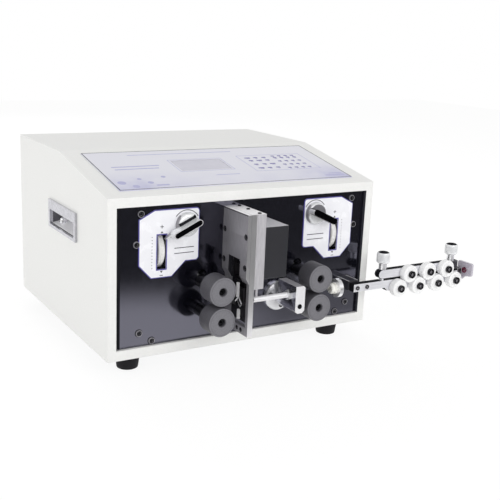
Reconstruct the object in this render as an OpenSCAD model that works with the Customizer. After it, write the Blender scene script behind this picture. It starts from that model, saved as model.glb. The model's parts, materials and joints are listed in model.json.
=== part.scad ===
// Bench machine that feeds, cuts and strips wire: case, feed rollers, cutter head,
// swinging guide and wire straightener. Lengths in millimetres, +Z up.
// The case frame has x to the right from the middle of the case, y backwards from its
// front face and z upwards from its bottom.

/* [Case] */
// Width of the case
case_w = 320; // [310:1:360]
// Depth of the case
case_d = 282; // [265:1:320]
// Height of the flat top above the bottom of the case
case_h = 192; // [186:1:215]
// Height of the front edge, where the sloping top begins
front_h = 165.5; // [163:0.5:175]
// Depth covered by the sloping top
slope_run = 138.5; // [128:0.5:160]
// Thickness of the sheet steel
sheet = 1.5; // [1:0.1:2]
// Width of the frame at the sides of the front opening
stile_w = 9.6; // [7:0.1:12]
// Height of the frame above the front opening
top_rail = 10.2; // [8:0.1:12]
// Height of the frame below the front opening
bottom_rail = 10.9; // [8:0.1:12]
// How far the front panel lies behind the frame
panel_recess = 4.5; // [3.5:0.1:6]
// Thickness of the front panel
panel_t = 8; // [6:0.5:10]
// Thickness of the base plate
base_t = 2; // [1.5:0.1:3]
// Thickness of the rear panel
rear_t = 1.5; // [1:0.1:2.5]

/* [Feet and handles] */
// Height of a rubber foot
foot_h = 19; // [10:0.5:25]
// Diameter of a foot at the case
foot_top_d = 28; // [22:0.5:34]
// Diameter of a foot at the floor
foot_floor_d = 22; // [16:0.5:26]
// Foot centre from the side of the case
foot_inset_x = 33; // [20:0.5:45]
// Foot centre from the front and back of the case
foot_inset_y = 28; // [20:0.5:45]
// Length of the inset handle
handle_len = 86; // [78:1:100]
// Height of the inset handle
handle_ht = 31; // [28:1:38]
// Depth of the finger recess
handle_depth = 18; // [14:0.5:24]
// Width of the handle's rim at both ends
handle_rim = 5; // [3:0.5:6]
// Height of the grip lip above the handle's mouth
handle_lip = 11; // [8:0.5:13]
// Handle centre behind the front of the case
handle_y = 127; // [110:1:160]
// Handle centre above the bottom of the case
handle_z = 119; // [95:1:130]

/* [Top panel] */
// Width of the printed overlay
overlay_w = 282; // [240:1:290]
// Length of the overlay along the slope
overlay_len = 111; // [105:1:115]
// Thickness of the overlay
overlay_t = 0.8; // [0.5:0.1:1.5]
// Lower edge of the overlay from the front edge of the slope
overlay_start = 16.5; // [8:0.5:18]
// Width of the display window
lcd_w = 61; // [50:1:66]
// Length of the display window along the slope
lcd_len = 32; // [26:1:38]
// Middle of the display window from the middle of the case
lcd_x = -21.5; // [-35:0.5:-10]
// Middle of the display window along the slope
lcd_s = 77; // [70:0.5:84]

/* [Feed] */
// Mirror line of the feed mechanism from the middle of the case
mech_x = 4.5; // [0:0.5:8]
// Feed roller axis from the mirror line
roller_u = 59.5; // [58.5:0.1:62]
// Diameter of a feed roller
roller_d = 30; // [28:0.5:31]
// Length of a feed roller
roller_len = 21.5; // [18:0.5:24]
// Gap between the feed rollers
roller_gap = 2; // [1:0.1:3]
// Front of the feed rollers in front of the case
roller_reach = 41.5; // [38:0.5:44]
// Height of the wire line above the bottom of the case
wire_z = 56.5; // [55:0.5:60]
// Diameter of a feed shaft
shaft_d = 10; // [8:0.5:11]
// Teeth of a feed gear
feed_teeth = 16; // [15:1:20]
// Rise of the upper roller when the lever is turned
lift = 6; // [4:0.5:7]
// Size of a feed motor's square flange
motor_size = 57; // [50:0.5:58]
// Length of a feed motor
motor_len = 56; // [40:1:76]

/* [Adjusters] */
// Thickness of an adjuster plate
plate_t = 1; // [0.8:0.1:2]
// Inner edge of an adjuster plate from the mirror line
plate_u0 = 65; // [62:0.5:68]
// Width of an adjuster plate
plate_w = 65; // [62:0.5:68]
// Height of an adjuster plate
plate_h = 68; // [66:0.5:72]
// Top of the adjuster plates below the top of the opening
plate_drop = 5.8; // [4:0.1:8]
// Diameter of the lever knob
knob_d = 25; // [20:0.5:28]
// Length of the knob's lever
lever_len = 34; // [28:0.5:38]
// Width of the knob's lever
lever_w = 7; // [5:0.5:9]
// Diameter of the gap dial
dial_d = 40; // [38:0.5:44]
// Width of the gap dial
dial_w = 8; // [6:0.5:8.5]

/* [Cutter head] */
// Right face of the head's block from the middle of the case
head_x = -10.6; // [-12:0.1:-8]
// Thickness of the right block
block_t = 10.9; // [9:0.1:13]
// Thickness of the upright plate
upright_t = 6; // [5:0.1:7]
// Thickness of the left cover
cover_t = 4.1; // [3:0.1:5]
// Front of the head in front of the case
head_reach = 45; // [44.5:0.1:48]
// Bottom of the head's block above the wire line
head_rise = 15.5; // [13:0.5:18]
// Bottom of the upright plate below the wire line
upright_drop = 34.5; // [33:0.5:38]
// Width of a blade
blade_w = 18; // [16:0.5:18.4]
// Thickness of a blade
blade_t = 1.5; // [1:0.1:1.6]
// Depth of a blade's notch
notch_depth = 6.3; // [5:0.1:6.4]
// Closing stroke of each blade from the pose shown
blade_close = 5; // [4:0.1:5]
// Opening stroke of each blade from the pose shown
blade_open = 4; // [1:0.1:4]
// Teeth of the cutter pinion
pinion_teeth = 14; // [14:1:14]
// Module of the cutter pinion
pinion_mod = 1; // [0.95:0.01:1.03]

/* [Swinging guide] */
// Pivot of the guide from the middle of the case
pivot_x = 39; // [37:0.5:40]
// Pivot of the guide below the wire line
pivot_drop = 11.4; // [10:0.1:12]
// Diameter of the pivot shaft
pivot_d = 12; // [10:0.5:13]
// Diameter of the pivot flange
flange_d = 33; // [28:0.5:34]
// Outer diameter of the guide tube
tube_d = 6; // [5:0.1:7]
// Bore of the guide tube
tube_bore = 4; // [3:0.1:4.4]
// Left end of the guide tube from the middle of the case
tube_end_x = -13.7; // [-17:0.1:-10]

/* [Straightener] */
// Middle of the bracket from the right side of the case
bracket_inset = 33; // [28:0.5:40]
// Diameter of a straightening roller
wheel_d = 20.4; // [18:0.1:20.6]
// Width of a straightening roller
wheel_w = 8.5; // [7:0.1:10]
// Distance between neighbouring rollers in a row
wheel_pitch = 28.8; // [28.4:0.1:34]
// Height of the upper roller axes above the lower ones
wheel_rise = 15.4; // [15:0.1:18]
// Lower roller axes below the wire line
wheel_drop = 10.7; // [9:0.1:12]
// Thickness of the bars, front to back
bar_t = 8; // [7:0.1:9]
// Diameter of a thumbscrew's cap
cap_d = 15; // [12:0.5:17]
// Bore of the eyelet
eyelet_bore = 4; // [3:0.1:5]

/* [Hidden] */
$fn = 48;

// Clearances: running fits, sliding pieces, seats of one body, and cutting tools past a face
run_fit = 0.05;
slide_fit = 0.3;
seat_fit = 0.2;
past = 1;

// Case
half_w = case_w / 2;
slope_deg = atan((case_h - front_h) / slope_run);
open_x = half_w - stile_w;
open_top = front_h - top_rail;
panel_y = panel_recess;
panel_back = panel_y + panel_t;
panel_top = front_h - 2.5;

// Feed rollers: lower and upper axes, and the wire line between them
feed_span = roller_d + roller_gap;
lower_z = wire_z - feed_span / 2;
upper_z = wire_z + feed_span / 2;
roller_y = -roller_reach;
roller_back = roller_y + roller_len;
wire_y = roller_y + roller_len / 2;
shaft_r = shaft_d / 2;
collar_r = shaft_r + 2;
hub_depth = 6;
hub_r = 4;
gear_y = panel_back + 17.5;
gear_w = 10;
motor_y = panel_back + 35.5;
motor_shaft_r = 3.175;
slider_half = 13;
slider_t = 12;
rail_w = 6;

// Adjusters
plate_top = open_top - plate_drop;
plate_y = panel_y - plate_t;
knob_u = plate_u0 + 13.7;
knob_z = plate_top - 15.7;
knob_shaft_r = 4;
lever_tilt = 25;
lever_shift = 5;
cam_y = panel_back + 1.5;
cam_t = 6;
cam_r = 8;
cam_turn = 90;
tip_gap = 0.5;
dial_u = plate_u0 + 41;
dial_z = plate_top - 42.2;
dial_proud = 0.5;
dial_y = plate_y - dial_proud + dial_d / 2;
dial_pin_r = 3;
slot_w = dial_w + 2;
slot_h = 35.5;

// Cutter head
head_y = -head_reach;
head_top = plate_top;
block_x = head_x - block_t;
upright_x = block_x - upright_t;
cover_x = upright_x - cover_t;
head_bottom = wire_z + head_rise;
window_y0 = head_y + 5;
window_y1 = window_y0 + 28.5;
window_z0 = wire_z - 25.5;
window_z1 = head_top - 8.5;
pinion_r = pinion_teeth * pinion_mod / 2;
pinion_y = window_y0 + 16;
pinion_z = head_top - 44.5;
pinion_shaft_r = 3;
tooth_add = 0.8;
tooth_ded = 1.1;
tooth_slack = 0.3;
holder_x0 = upright_x + slide_fit;
holder_x1 = block_x - slide_fit;
upper_face_x = holder_x0 + 0.4;
lower_blade_x = holder_x0 - blade_t;
upper_blade_x = lower_blade_x - slide_fit - blade_t;
blade_tip = 1.5;
upper_blade_top = 16.5;
rack_low = pinion_z - 14;
rack_high = pinion_z + 16;
drive_cover_w = 30.6;
drive_cover_y = head_y + 5;
drive_cover_z0 = pinion_z - 25;
drive_cover_z1 = pinion_z + 29.5;

// Swinging guide
pivot_z = wire_z - pivot_drop;
pivot_r = pivot_d / 2;
flange_y = panel_y - 5.5;
guide_x0 = pivot_x - 5.5;
guide_x1 = pivot_x + 6.3;
guide_front = wire_y - 9.75;
guide_back = flange_y - 5;
tube_seat = 6;
nut_len = 5.4;

// Inlet guide, right of the feed rollers
nozzle_x0 = mech_x + roller_u + 20.3;
ring_x0 = nozzle_x0 + 7;
ring_t = 4.6;
ring_r = 10.5;
nozzle_bore_r = 2.2;
nozzle_seat_r = 5;

// Straightener
bracket_x = half_w - bracket_inset;
bracket_w = 13.5;
bar_back = wire_y + wheel_w / 2 + 0.5 + bar_t;
bar_front = bar_back - bar_t;
wheel_back = bar_front - 0.5;
wheel_front = wheel_back - wheel_w;
lower_wheel_z = wire_z - wheel_drop;
upper_wheel_z = lower_wheel_z + wheel_rise;
wheel_x = bracket_x + 55.8;
lower_bar_x0 = bracket_x - 5;
lower_bar_z1 = lower_wheel_z + 9.2;
upper_bar_z0 = lower_bar_z1 + 2.5;
upper_bar_h = 9.9;
upper_bar_z1 = upper_bar_z0 + upper_bar_h;
thumb_x = [wheel_x - 18.3, wheel_x + 3 * wheel_pitch + 0.5];
thumb_y = (bar_front + bar_back) / 2;
thumb_r = 3;
axle_r = 3;
axle_head_r = 4.2;
axle_head_len = 2.5;
axle_head_y = wheel_front - 0.5;
end_x = wheel_x + 3 * wheel_pitch + 17.3;
link_len = 6.5;
link_x = end_x - link_len;
eyelet_z = wire_z - 0.9;
end_t = 2.5;
eyelet_r = 3.5;
eyelet_half = 2.25;

// Rear
inlet_x = -half_w + 50;
inlet_z = 48;
inlet_w = 33;
inlet_h = 58;
inlet_flange_t = 2;
inlet_body_d = 24;
socket_z = inlet_z - 12;
rocker_z = inlet_z + 14;
rocker_w = 12.4;
rocker_half = 9.5;
rocker_tilt = 8;
rocker_y = case_d - 1;
rocker_face = 4.2;

// The part stands on its feet, centred on its overall box
handle_proud = 2.4;
reach_right = end_x + end_t / 2 + eyelet_half;
reach_left = half_w + handle_proud;
reach_back = rocker_y + rocker_face * cos(rocker_tilt) + rocker_half * sin(rocker_tilt);
frame_x = (reach_left - reach_right) / 2;
frame_y = (head_reach - reach_back) / 2;

// Moves children from the case frame to the part's own frame
module on_case() {
    translate([frame_x, frame_y, foot_h]) children();
}

// The feed mechanism is mirrored: side 1 is right, side -1 is left, x is counted outwards
module on_side(side) {
    on_case() translate([mech_x, 0, 0]) mirror([side < 0 ? 1 : 0, 0, 0]) children();
}

// Frame of the sloping top: y along the slope, z out of it
module on_slope() {
    on_case() translate([0, 0, front_h]) rotate([slope_deg, 0, 0]) children();
}

module block(low, high) {
    translate(low) cube(high - low);
}

module rod_x(x0, x1, y, z, r) {
    translate([x0, y, z]) rotate([0, 90, 0]) cylinder(h = x1 - x0, r = r);
}

module rod_y(y0, y1, x, z, r) {
    translate([x, y1, z]) rotate([90, 0, 0]) cylinder(h = y1 - y0, r = r);
}

module rod_z(z0, z1, x, y, r) {
    translate([x, y, z0]) cylinder(h = z1 - z0, r = r);
}

// Outline of (y, z) points carried along x
module along_x(x0, x1, points) {
    translate([x0, 0, 0]) rotate([90, 0, 90]) linear_extrude(x1 - x0) polygon(points);
}

// Outline of (x, z) points carried along y
module along_y(y0, y1, points) {
    translate([0, y1, 0]) rotate([90, 0, 0]) linear_extrude(y1 - y0) polygon(points);
}

function arc(centre, r, from, to, steps = 6) =
    [for (i = [0:steps]) let (a = from + (to - from) * i / steps)
        centre + r * [cos(a), sin(a)]];

// Rounded bar along x: ends are half circles
function slot_outline(len, width) = concat(
    arc([len / 2 - width / 2, 0], width / 2, -90, 90),
    arc([width / 2 - len / 2, 0], width / 2, 90, 270));

// Rectangle with chamfered corners, centred
function chamfered(w, h, c) = [
    [w / 2 - c, -h / 2], [w / 2, c - h / 2], [w / 2, h / 2 - c], [w / 2 - c, h / 2],
    [c - w / 2, h / 2], [-w / 2, h / 2 - c], [-w / 2, c - h / 2], [c - w / 2, -h / 2]];

// Involute teeth: half the tooth's angle at radius r shrinks by the involute angle there
function involute(r, base) = r <= base ? 0 : let (a = acos(base / r)) tan(a) * 180 / PI - a;

function gear_outline(teeth, pitch_r, add, ded, slack, phase = 0) =
    let (base = pitch_r * cos(20),
         half = 90 / teeth - slack / 4 / pitch_r * 180 / PI + involute(pitch_r, base),
         radii = [for (i = [0:5]) pitch_r - ded + (add + ded) * i / 5])
    [for (tooth = [0:teeth - 1], flank = [-1, 1], i = [0:5])
        let (r = radii[flank < 0 ? i : 5 - i],
             a = phase + tooth * 360 / teeth + flank * (half - involute(r, base)))
        r * [cos(a), sin(a)]];

// Straight rack teeth on the line y = pitch_line, pointing along dir
function rack_edge(pitch_line, dir, low, high, pitch, add, ded, slack) =
    let (half = pitch / 4 - slack / 4, count = floor((high - low) / pitch),
         first = pinion_z - (floor((pinion_z - low) / pitch) - 0.5) * pitch)
    [for (k = [0:count - 1], corner = [0:3])
        let (z = first + k * pitch, tip = corner == 1 || corner == 2,
             h = half + (tip ? -add : ded) * tan(20))
        [pitch_line + dir * (tip ? add : -ded), z + (corner < 2 ? -h : h)]];

module case_profile(inset, low, back) {
    roof = inset / cos(slope_deg);
    run = (case_h - inset - front_h + roof) / tan(slope_deg);
    along_x(-half_w + inset, half_w - inset, [
        [inset, low], [back, low], [back, case_h - inset], [run, case_h - inset],
        [inset, front_h + inset * tan(slope_deg) - roof]]);
}

module front_opening(y0, y1, margin) {
    block([-open_x - margin, y0, bottom_rail - margin], [open_x + margin, y1, open_top + margin]);
}

module case_shell() {
    color("ivory") difference() {
        on_case() difference() {
            union() {
                difference() {
                    case_profile(0, 0, case_d);
                    case_profile(sheet, -past, case_d + past);
                }
                front_opening(0, panel_y, sheet);
            }
            front_opening(-past, panel_y + past, 0);
            handle_cut = handle_cup_size() + [2, 2];
            translate([0, handle_y, handle_z])
                cube([case_w + 2 * past, handle_cut[0], handle_cut[1]], center = true);
        }
        on_slope() translate([lcd_x, lcd_s, 0])
            cube([lcd_w + 1, lcd_len + 1, 4 * sheet], center = true);
    }
}

module base_plate() {
    side = half_w - sheet - seat_fit;
    color("gainsboro") on_case()
        block([-side, sheet + seat_fit, 0], [side, case_d - rear_t, base_t]);
}

module rear_panel() {
    side = half_w - sheet - seat_fit;
    vent_w = 46;
    vent_h = 3;
    color("ivory") on_case() difference() {
        block([-side, case_d - rear_t, 0], [side, case_d, case_h - sheet - seat_fit]);
        for (column = [0:1], row = [0:8])
            translate([20 + column * 60, case_d, 60 + row * 8])
                cube([vent_w, 4 * rear_t, vent_h], center = true);
        block([inlet_x - inlet_w / 2 + 3, case_d - rear_t - past, inlet_z - inlet_h / 2 + 3],
            [inlet_x + inlet_w / 2 - 3, case_d + past, inlet_z + inlet_h / 2 - 3]);
    }
}

// Vertical slot that lets an upper feed shaft rise
module lift_slot(y0, y1, r) {
    rod_y(y0, y1, roller_u, upper_z, r);
    rod_y(y0, y1, roller_u, upper_z + lift, r);
    block([roller_u - r, y0, upper_z], [roller_u + r, y1, upper_z + lift]);
}

module dial_ears() {
    ear_t = 4;
    for (side = [-1, 1]) difference() {
        middle = dial_u + side * (dial_w / 2 + 0.5 + ear_t / 2);
        translate([middle - ear_t / 2, panel_back - 0.5, dial_z - 7])
            cube([ear_t, dial_y - panel_back + 7, 14]);
        rod_x(middle - ear_t, middle + ear_t, dial_y, dial_z, dial_pin_r + run_fit);
    }
}

module front_panel() {
    side = half_w - sheet - 0.5;
    y0 = panel_y - past;
    y1 = panel_back + past;
    color("#1b1b22") {
        difference() {
            on_case() block([-side, panel_y, base_t], [side, panel_back, panel_top]);
            for (s = [-1, 1]) on_side(s) {
                rod_y(y0, y1, roller_u, lower_z, shaft_r + run_fit);
                lift_slot(y0, y1, shaft_r + 0.6);
                rod_y(y0, y1, knob_u, knob_z, knob_shaft_r + run_fit);
                block([dial_u - slot_w / 2 - 0.5, y0, dial_z - slot_h / 2 - 1.5],
                    [dial_u + slot_w / 2 + 0.5, y1, dial_z + slot_h / 2 + 1.5]);
            }
            on_case() rod_y(y0, y1, pivot_x, pivot_z, pivot_r + 0.5);
        }
        for (s = [-1, 1]) on_side(s) dial_ears();
    }
}

module rubber_feet() {
    color("#202022") on_case()
        for (x = [foot_inset_x - half_w, half_w - foot_inset_x],
             y = [foot_inset_y, case_d - foot_inset_y])
            translate([x, y, -foot_h])
                cylinder(h = foot_h, d1 = foot_floor_d, d2 = foot_top_d);
}

// Socket head with its hexagon recess, pointing along -y at the origin
module socket_head(r, len) {
    rotate([90, 0, 0]) difference() {
        cylinder(h = len, r = r);
        translate([0, 0, len * 0.45]) cylinder(h = len, r = r * 0.55, $fn = 6);
    }
}

module panel_screw_heads() {
    u = 129.5;
    z_low = bottom_rail + 14;
    for (s = [-1, 1], place = [[u - 1, plate_top - 2], [u + 3.6, plate_top - 32.5],
            [u, z_low], [u - 14, bottom_rail + 4.2]])
        translate([mech_x + s * place[0], panel_y, place[1]]) socket_head(2.8, 1.6);
}

// Screws of the left cover, seated in its counterbores
cover_screws = [for (y = [head_y + 3.2, panel_y - 4], z = [head_top - 23, head_top - 54.8]) [y, z]];

module wheel_axle() {
    rod_y(axle_head_y - 0.5, bar_front, 0, 0, axle_r);
    translate([0, axle_head_y, 0]) socket_head(axle_head_r, axle_head_len);
}

module socket_screws() {
    color("#2a2a2e") on_case() {
        panel_screw_heads();
        for (place = cover_screws)
            translate([cover_x + 2.6, place[0], place[1]])
                rotate([0, 0, -90]) socket_head(2, 2.4);
        for (i = [0:3])
            translate([wheel_x + i * wheel_pitch, 0, lower_wheel_z]) wheel_axle();
        for (x = [bracket_x, bracket_x + 13.5])
            translate([x, bar_front, lower_bar_z1 - 4.5]) socket_head(2.4, 1.2);
    }
}

// Cup that passes through the case side, hidden behind the rim
function handle_cup_size() = [handle_len - 8, handle_ht - 7];

// Rim plate with a mouth, and a cup with sloping walls that runs up behind the grip lip
module handle_cup() {
    cup = handle_cup_size();
    cup_floor = cup - [10, 8];
    wall = 1;
    foot = 3.4;
    difference() {
        union() {
            translate([0, 0, handle_proud / 2])
                cube([handle_len, handle_ht, handle_proud], center = true);
            hull() {
                cube([cup[0], cup[1], 0.2], center = true);
                translate([0, 0, -handle_depth])
                    cube([cup_floor[0], cup_floor[1], 0.2], center = true);
            }
        }
        translate([0, (foot - handle_lip) / 2, handle_proud / 2])
            cube([handle_len - 2 * handle_rim, handle_ht - handle_lip - foot,
                handle_proud + 2 * past], center = true);
        hull() {
            translate([0, 0, -0.1])
                cube([cup[0] - 2 * wall, cup[1] - 2 * wall, 0.2], center = true);
            translate([0, 0, wall - handle_depth])
                cube([cup_floor[0] - 2 * wall, cup_floor[1] - 2 * wall, 0.2], center = true);
        }
    }
}

module side_handles() {
    color("silver") on_case() for (s = [-1, 1])
        translate([s * half_w, handle_y, handle_z])
            rotate([0, 0, s * 90]) rotate([90, 0, 0]) handle_cup();
}

module control_overlay() {
    color("#dcdcec") on_slope() difference() {
        translate([-overlay_w / 2, overlay_start, 0])
            cube([overlay_w, overlay_len, overlay_t]);
        translate([lcd_x, lcd_s, 0]) cube([lcd_w, lcd_len, 4 * overlay_t], center = true);
    }
}

module lcd_module() {
    board_w = lcd_w + 120;
    board_len = lcd_len + 46;
    depth = 14;
    post = 3;
    color("#a9a9b2") on_slope() translate([lcd_x, lcd_s, 0]) {
        translate([0, 0, (overlay_t - 0.3 - depth) / 2])
            cube([lcd_w - 0.6, lcd_len - 0.6, depth + overlay_t - 0.3], center = true);
        translate([0, 0, -depth]) cube([board_w, board_len, 1.6], center = true);
        for (x = [-1, 1], y = [-1, 1])
            translate([x * (board_w / 2 - 5), y * (board_len / 2 - 5), -depth])
                cylinder(h = depth - sheet, r = post);
    }
}

module power_supply() {
    size = [110, 98, 42];
    color("#b8bcc0") on_case() translate([20, case_d - 30 - size[1], base_t]) difference() {
        cube(size);
        translate([6, -past, size[2] - 16]) cube([size[0] - 12, 14, 20]);
    }
}

// Outline of an adjuster plate, (u, z) with u counted outwards from the mirror line
function plate_outline() = let (u1 = plate_u0 + plate_w, z0 = plate_top - plate_h) [
    [plate_u0, plate_top], [u1 - 16.2, plate_top], [u1, plate_top - 8.3], [u1, z0 + 13.8],
    [u1 - 13, z0], [u1 - 35.3, z0], [plate_u0 + 14.5, z0 + 14.8], [plate_u0, z0 + 14.8]];

module adjuster_plates() {
    color("white") for (s = [-1, 1]) on_side(s) difference() {
        along_y(plate_y, panel_y, plate_outline());
        block([dial_u - slot_w / 2, plate_y - past, dial_z - slot_h / 2],
            [dial_u + slot_w / 2, panel_y + past, dial_z + slot_h / 2]);
        rod_y(plate_y - past, panel_y + past, knob_u, knob_z, knob_shaft_r + 0.5);
    }
}

// Rails that hold a lift block against the back of the panel
module slide_rails() {
    near = slider_half + slide_fit;
    z0 = upper_z - 12;
    z1 = upper_z + 28;
    back = panel_back + 0.5 + slider_t + slide_fit;
    color("#8c9096") for (s = [-1, 1]) on_side(s) for (e = [-1, 1])
        translate([roller_u, 0, 0]) mirror([e < 0 ? 1 : 0, 0, 0]) {
            block([near, panel_back, z0], [near + rail_w, back + 2, z1]);
            block([slider_half - 3, back, z0], [near + rail_w, back + 2, z1]);
        }
}

module feed_motors() {
    bolt = motor_size * 0.4135;
    corner = 5;
    color("#2f3136") for (s = [-1, 1]) on_side(s) translate([roller_u, 0, lower_z]) {
        difference() {
            along_y(motor_y, motor_y + motor_len, chamfered(motor_size, motor_size, corner));
            rod_y(motor_y - past, motor_y + 20, 0, 0, motor_shaft_r + run_fit);
        }
        for (x = [-bolt, bolt], z = [-bolt, bolt])
            rod_y(panel_back, motor_y + 0.5, x, z, 4);
    }
}

module cutter_motor() {
    size = 28;
    gearbox = 10;
    length = drive_cover_w - 5;
    color("#2f3136") on_case() difference() {
        union() {
            rod_x(head_x, head_x + gearbox + 0.5, pinion_y, pinion_z, size / 2 - 1);
            translate([0, pinion_y, pinion_z])
                along_x(head_x + gearbox, head_x + length, chamfered(size, size, 3));
        }
        rod_x(head_x - past, head_x + 8, pinion_y, pinion_z, pinion_shaft_r + run_fit);
    }
}

module head_block() {
    pin_r = 1.5;
    color("#c9c9cb") on_case() difference() {
        union() {
            block([block_x, head_y, head_bottom], [head_x, panel_y, head_top]);
            rod_z(head_bottom - 8, head_bottom + 1, block_x + 4.5, head_y + 3, pin_r);
        }
        rod_x(block_x - past, head_x + past, pinion_y, pinion_z, pinion_shaft_r + run_fit);
    }
}

module head_plate() {
    color("#b4b4b8") on_case() difference() {
        block([upright_x, head_y, wire_z - upright_drop], [block_x, panel_y, head_top]);
        block([upright_x - past, window_y0, window_z0], [block_x + past, window_y1, window_z1]);
        for (y = [window_y0 + 8, window_y0 + 16])
            rod_x(upright_x - past, block_x + past, y, window_z0 - 4.5, 1.5);
    }
}

// Left cover: its lower edge slopes up from the plate to the outer face
module head_cover() {
    inner_z = head_bottom + 5.4;
    outer_z = head_bottom + 12.4;
    notch_y = head_y + 24.4;
    notch_w = 23;
    notch_top = outer_z + 17;
    color("#9a9a9f") on_case() difference() {
        along_y(head_y, panel_y, [
            [upright_x, inner_z], [upright_x, head_top], [cover_x, head_top], [cover_x, outer_z]]);
        block([cover_x - past, notch_y - notch_w / 2, head_bottom],
            [upright_x + past, notch_y + notch_w / 2, notch_top]);
        for (place = cover_screws)
            rod_x(cover_x - past, cover_x + 2.6, place[0], place[1], 2.2);
    }
}

module drive_cover() {
    wall = 1.2;
    x1 = head_x + drive_cover_w;
    color("#26262a") on_case() difference() {
        block([head_x, drive_cover_y, drive_cover_z0], [x1, panel_y, drive_cover_z1]);
        block([head_x - past, drive_cover_y + wall, drive_cover_z0 + wall],
            [x1 - wall, panel_y + past, drive_cover_z1 - wall]);
    }
}

module pivot_flange() {
    screw_ring = flange_d / 2 - 5;
    color("#d8d8dc") on_case() difference() {
        rod_y(flange_y, panel_y, pivot_x, pivot_z, flange_d / 2);
        rod_y(flange_y - past, panel_y + past, pivot_x, pivot_z, pivot_r + run_fit);
        for (a = [45, 165, 285])
            rod_y(flange_y - past, flange_y + 4, pivot_x + screw_ring * cos(a),
                pivot_z + screw_ring * sin(a), 2.2);
    }
}

module inlet_guide() {
    middle = ring_x0 + ring_t / 2;
    color("#d8d8dc") on_case() difference() {
        union() {
            rod_x(ring_x0, ring_x0 + ring_t, wire_y, wire_z, ring_r);
            rod_y(wire_y + ring_r - 3, panel_y, middle, wire_z, ring_t / 2 - 0.2);
        }
        rod_x(ring_x0 - past, ring_x0 + ring_t + past, wire_y, wire_z, nozzle_seat_r + run_fit);
    }
}

module inlet_nozzle() {
    nose_len = 4.4;
    nose_r = 5.6;
    flange_r = 6.2;
    tail = ring_x0 + ring_t + 2;
    color("#f3eedd") on_case() difference() {
        union() {
            translate([nozzle_x0, wire_y, wire_z]) rotate([0, 90, 0])
                cylinder(h = 1, r1 = nose_r - 0.9, r2 = nose_r);
            rod_x(nozzle_x0 + 1, nozzle_x0 + nose_len + 0.5, wire_y, wire_z, nose_r);
            rod_x(nozzle_x0 + nose_len, ring_x0, wire_y, wire_z, flange_r);
            rod_x(ring_x0 - past, tail, wire_y, wire_z, nozzle_seat_r);
        }
        rod_x(nozzle_x0 - past, tail + past, wire_y, wire_z, nozzle_bore_r);
    }
}

module straightener_bracket() {
    z1 = lower_bar_z1 + 2;
    z0 = lower_bar_z1 - 9;
    color("#4a4b50") on_case() {
        block([bracket_x - bracket_w / 2, bar_back, z0], [bracket_x + bracket_w / 2, panel_y, z1]);
        block([bracket_x - bracket_w / 2 - 3, panel_y - 4, z0 - 3],
            [bracket_x + bracket_w / 2 + 3, panel_y, z1]);
    }
}

module lower_bar() {
    step_x = wheel_x - 12;
    thin_z = lower_bar_z1 - 9;
    deep_z = lower_wheel_z - 3.8;
    color("#d0d0d4") on_case() difference() {
        along_y(bar_front, bar_back, [
            [lower_bar_x0, thin_z], [step_x - 4, thin_z], [step_x, deep_z],
            [link_x - 3, deep_z], [link_x, deep_z + 3], [link_x, lower_bar_z1],
            [lower_bar_x0, lower_bar_z1]]);
        for (x = thumb_x)
            rod_z(lower_bar_z1 - 5.5, lower_bar_z1 + past, x, thumb_y, thumb_r + slide_fit);
    }
}

module eyelet_plate() {
    y0 = wire_y - 12;
    y1 = bar_back - 1;
    z1 = wire_z + 9;
    z0 = wire_z - 13.7;
    color("#8d8d94") on_case() difference() {
        union() {
            along_x(end_x, end_x + end_t, [
                [y1, z1], [y0, z1], [y0, z0 + 7], [y0 + 10, z0 + 5.5], [y0 + 16, z0], [y1, z0]]);
            block([link_x, bar_front, lower_bar_z1 - 9], [end_x + 0.5, bar_back, lower_bar_z1 + 2]);
        }
        rod_x(end_x - past, end_x + end_t + past, wire_y, eyelet_z, eyelet_r + run_fit);
    }
}

module eyelet() {
    middle = end_x + end_t / 2;
    color("#a3203c") on_case() difference() {
        rod_x(middle - eyelet_half, middle + eyelet_half, wire_y, eyelet_z, eyelet_r);
        rod_x(middle - eyelet_half - past, middle + eyelet_half + past, wire_y, eyelet_z,
            eyelet_bore / 2);
    }
}

module power_inlet() {
    w = inlet_w - 6.4;
    h = inlet_h - 6.4;
    socket_w = 24;
    socket_h = 16.5;
    socket_depth = 17;
    well = [rocker_w + 0.8, 12, 2 * rocker_half + 2.6];
    y1 = case_d + inlet_flange_t;
    color("#1d1d20") on_case() translate([inlet_x, 0, 0]) {
        difference() {
            union() {
                translate([0, 0, inlet_z])
                    along_y(case_d, y1, chamfered(inlet_w, inlet_h, 3));
                block([-w / 2, case_d - inlet_body_d, inlet_z - h / 2],
                    [w / 2, case_d + 0.5, inlet_z + h / 2]);
            }
            translate([0, 0, socket_z]) along_y(y1 - socket_depth, y1 + past, [
                [socket_w / 2, -socket_h / 2], [socket_w / 2, socket_h / 2 - 4],
                [socket_w / 2 - 4, socket_h / 2], [4 - socket_w / 2, socket_h / 2],
                [-socket_w / 2, socket_h / 2 - 4], [-socket_w / 2, -socket_h / 2]]);
            block([-well[0] / 2, y1 - well[1], rocker_z - well[2] / 2],
                [well[0] / 2, y1 + past, rocker_z + well[2] / 2]);
            rod_x(-well[0] / 2 - 3, well[0] / 2 + 3, rocker_y, rocker_z, 1.5 + run_fit);
        }
        for (pin = [[-7, -2], [0, 2], [7, -2]])
            translate([pin[0], y1 - socket_depth + 5.2, socket_z + pin[1]])
                cube([2, 11, 4], center = true);
    }
}

// Rocker with a shallow hollow face, tilted to its off position
module power_rocker() {
    color("#c0262c") on_case() translate([inlet_x, rocker_y, rocker_z]) {
        rotate([rocker_tilt, 0, 0]) along_x(-rocker_w / 2, rocker_w / 2, [
            [-4, -4], [1, -rocker_half], [rocker_face, -rocker_half], [3, 0], [rocker_face, rocker_half],
            [1, rocker_half], [-4, 4]]);
        rod_x(-rocker_w / 2 - 3, rocker_w / 2 + 3, 0, 0, 1.5);
    }
}

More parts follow.
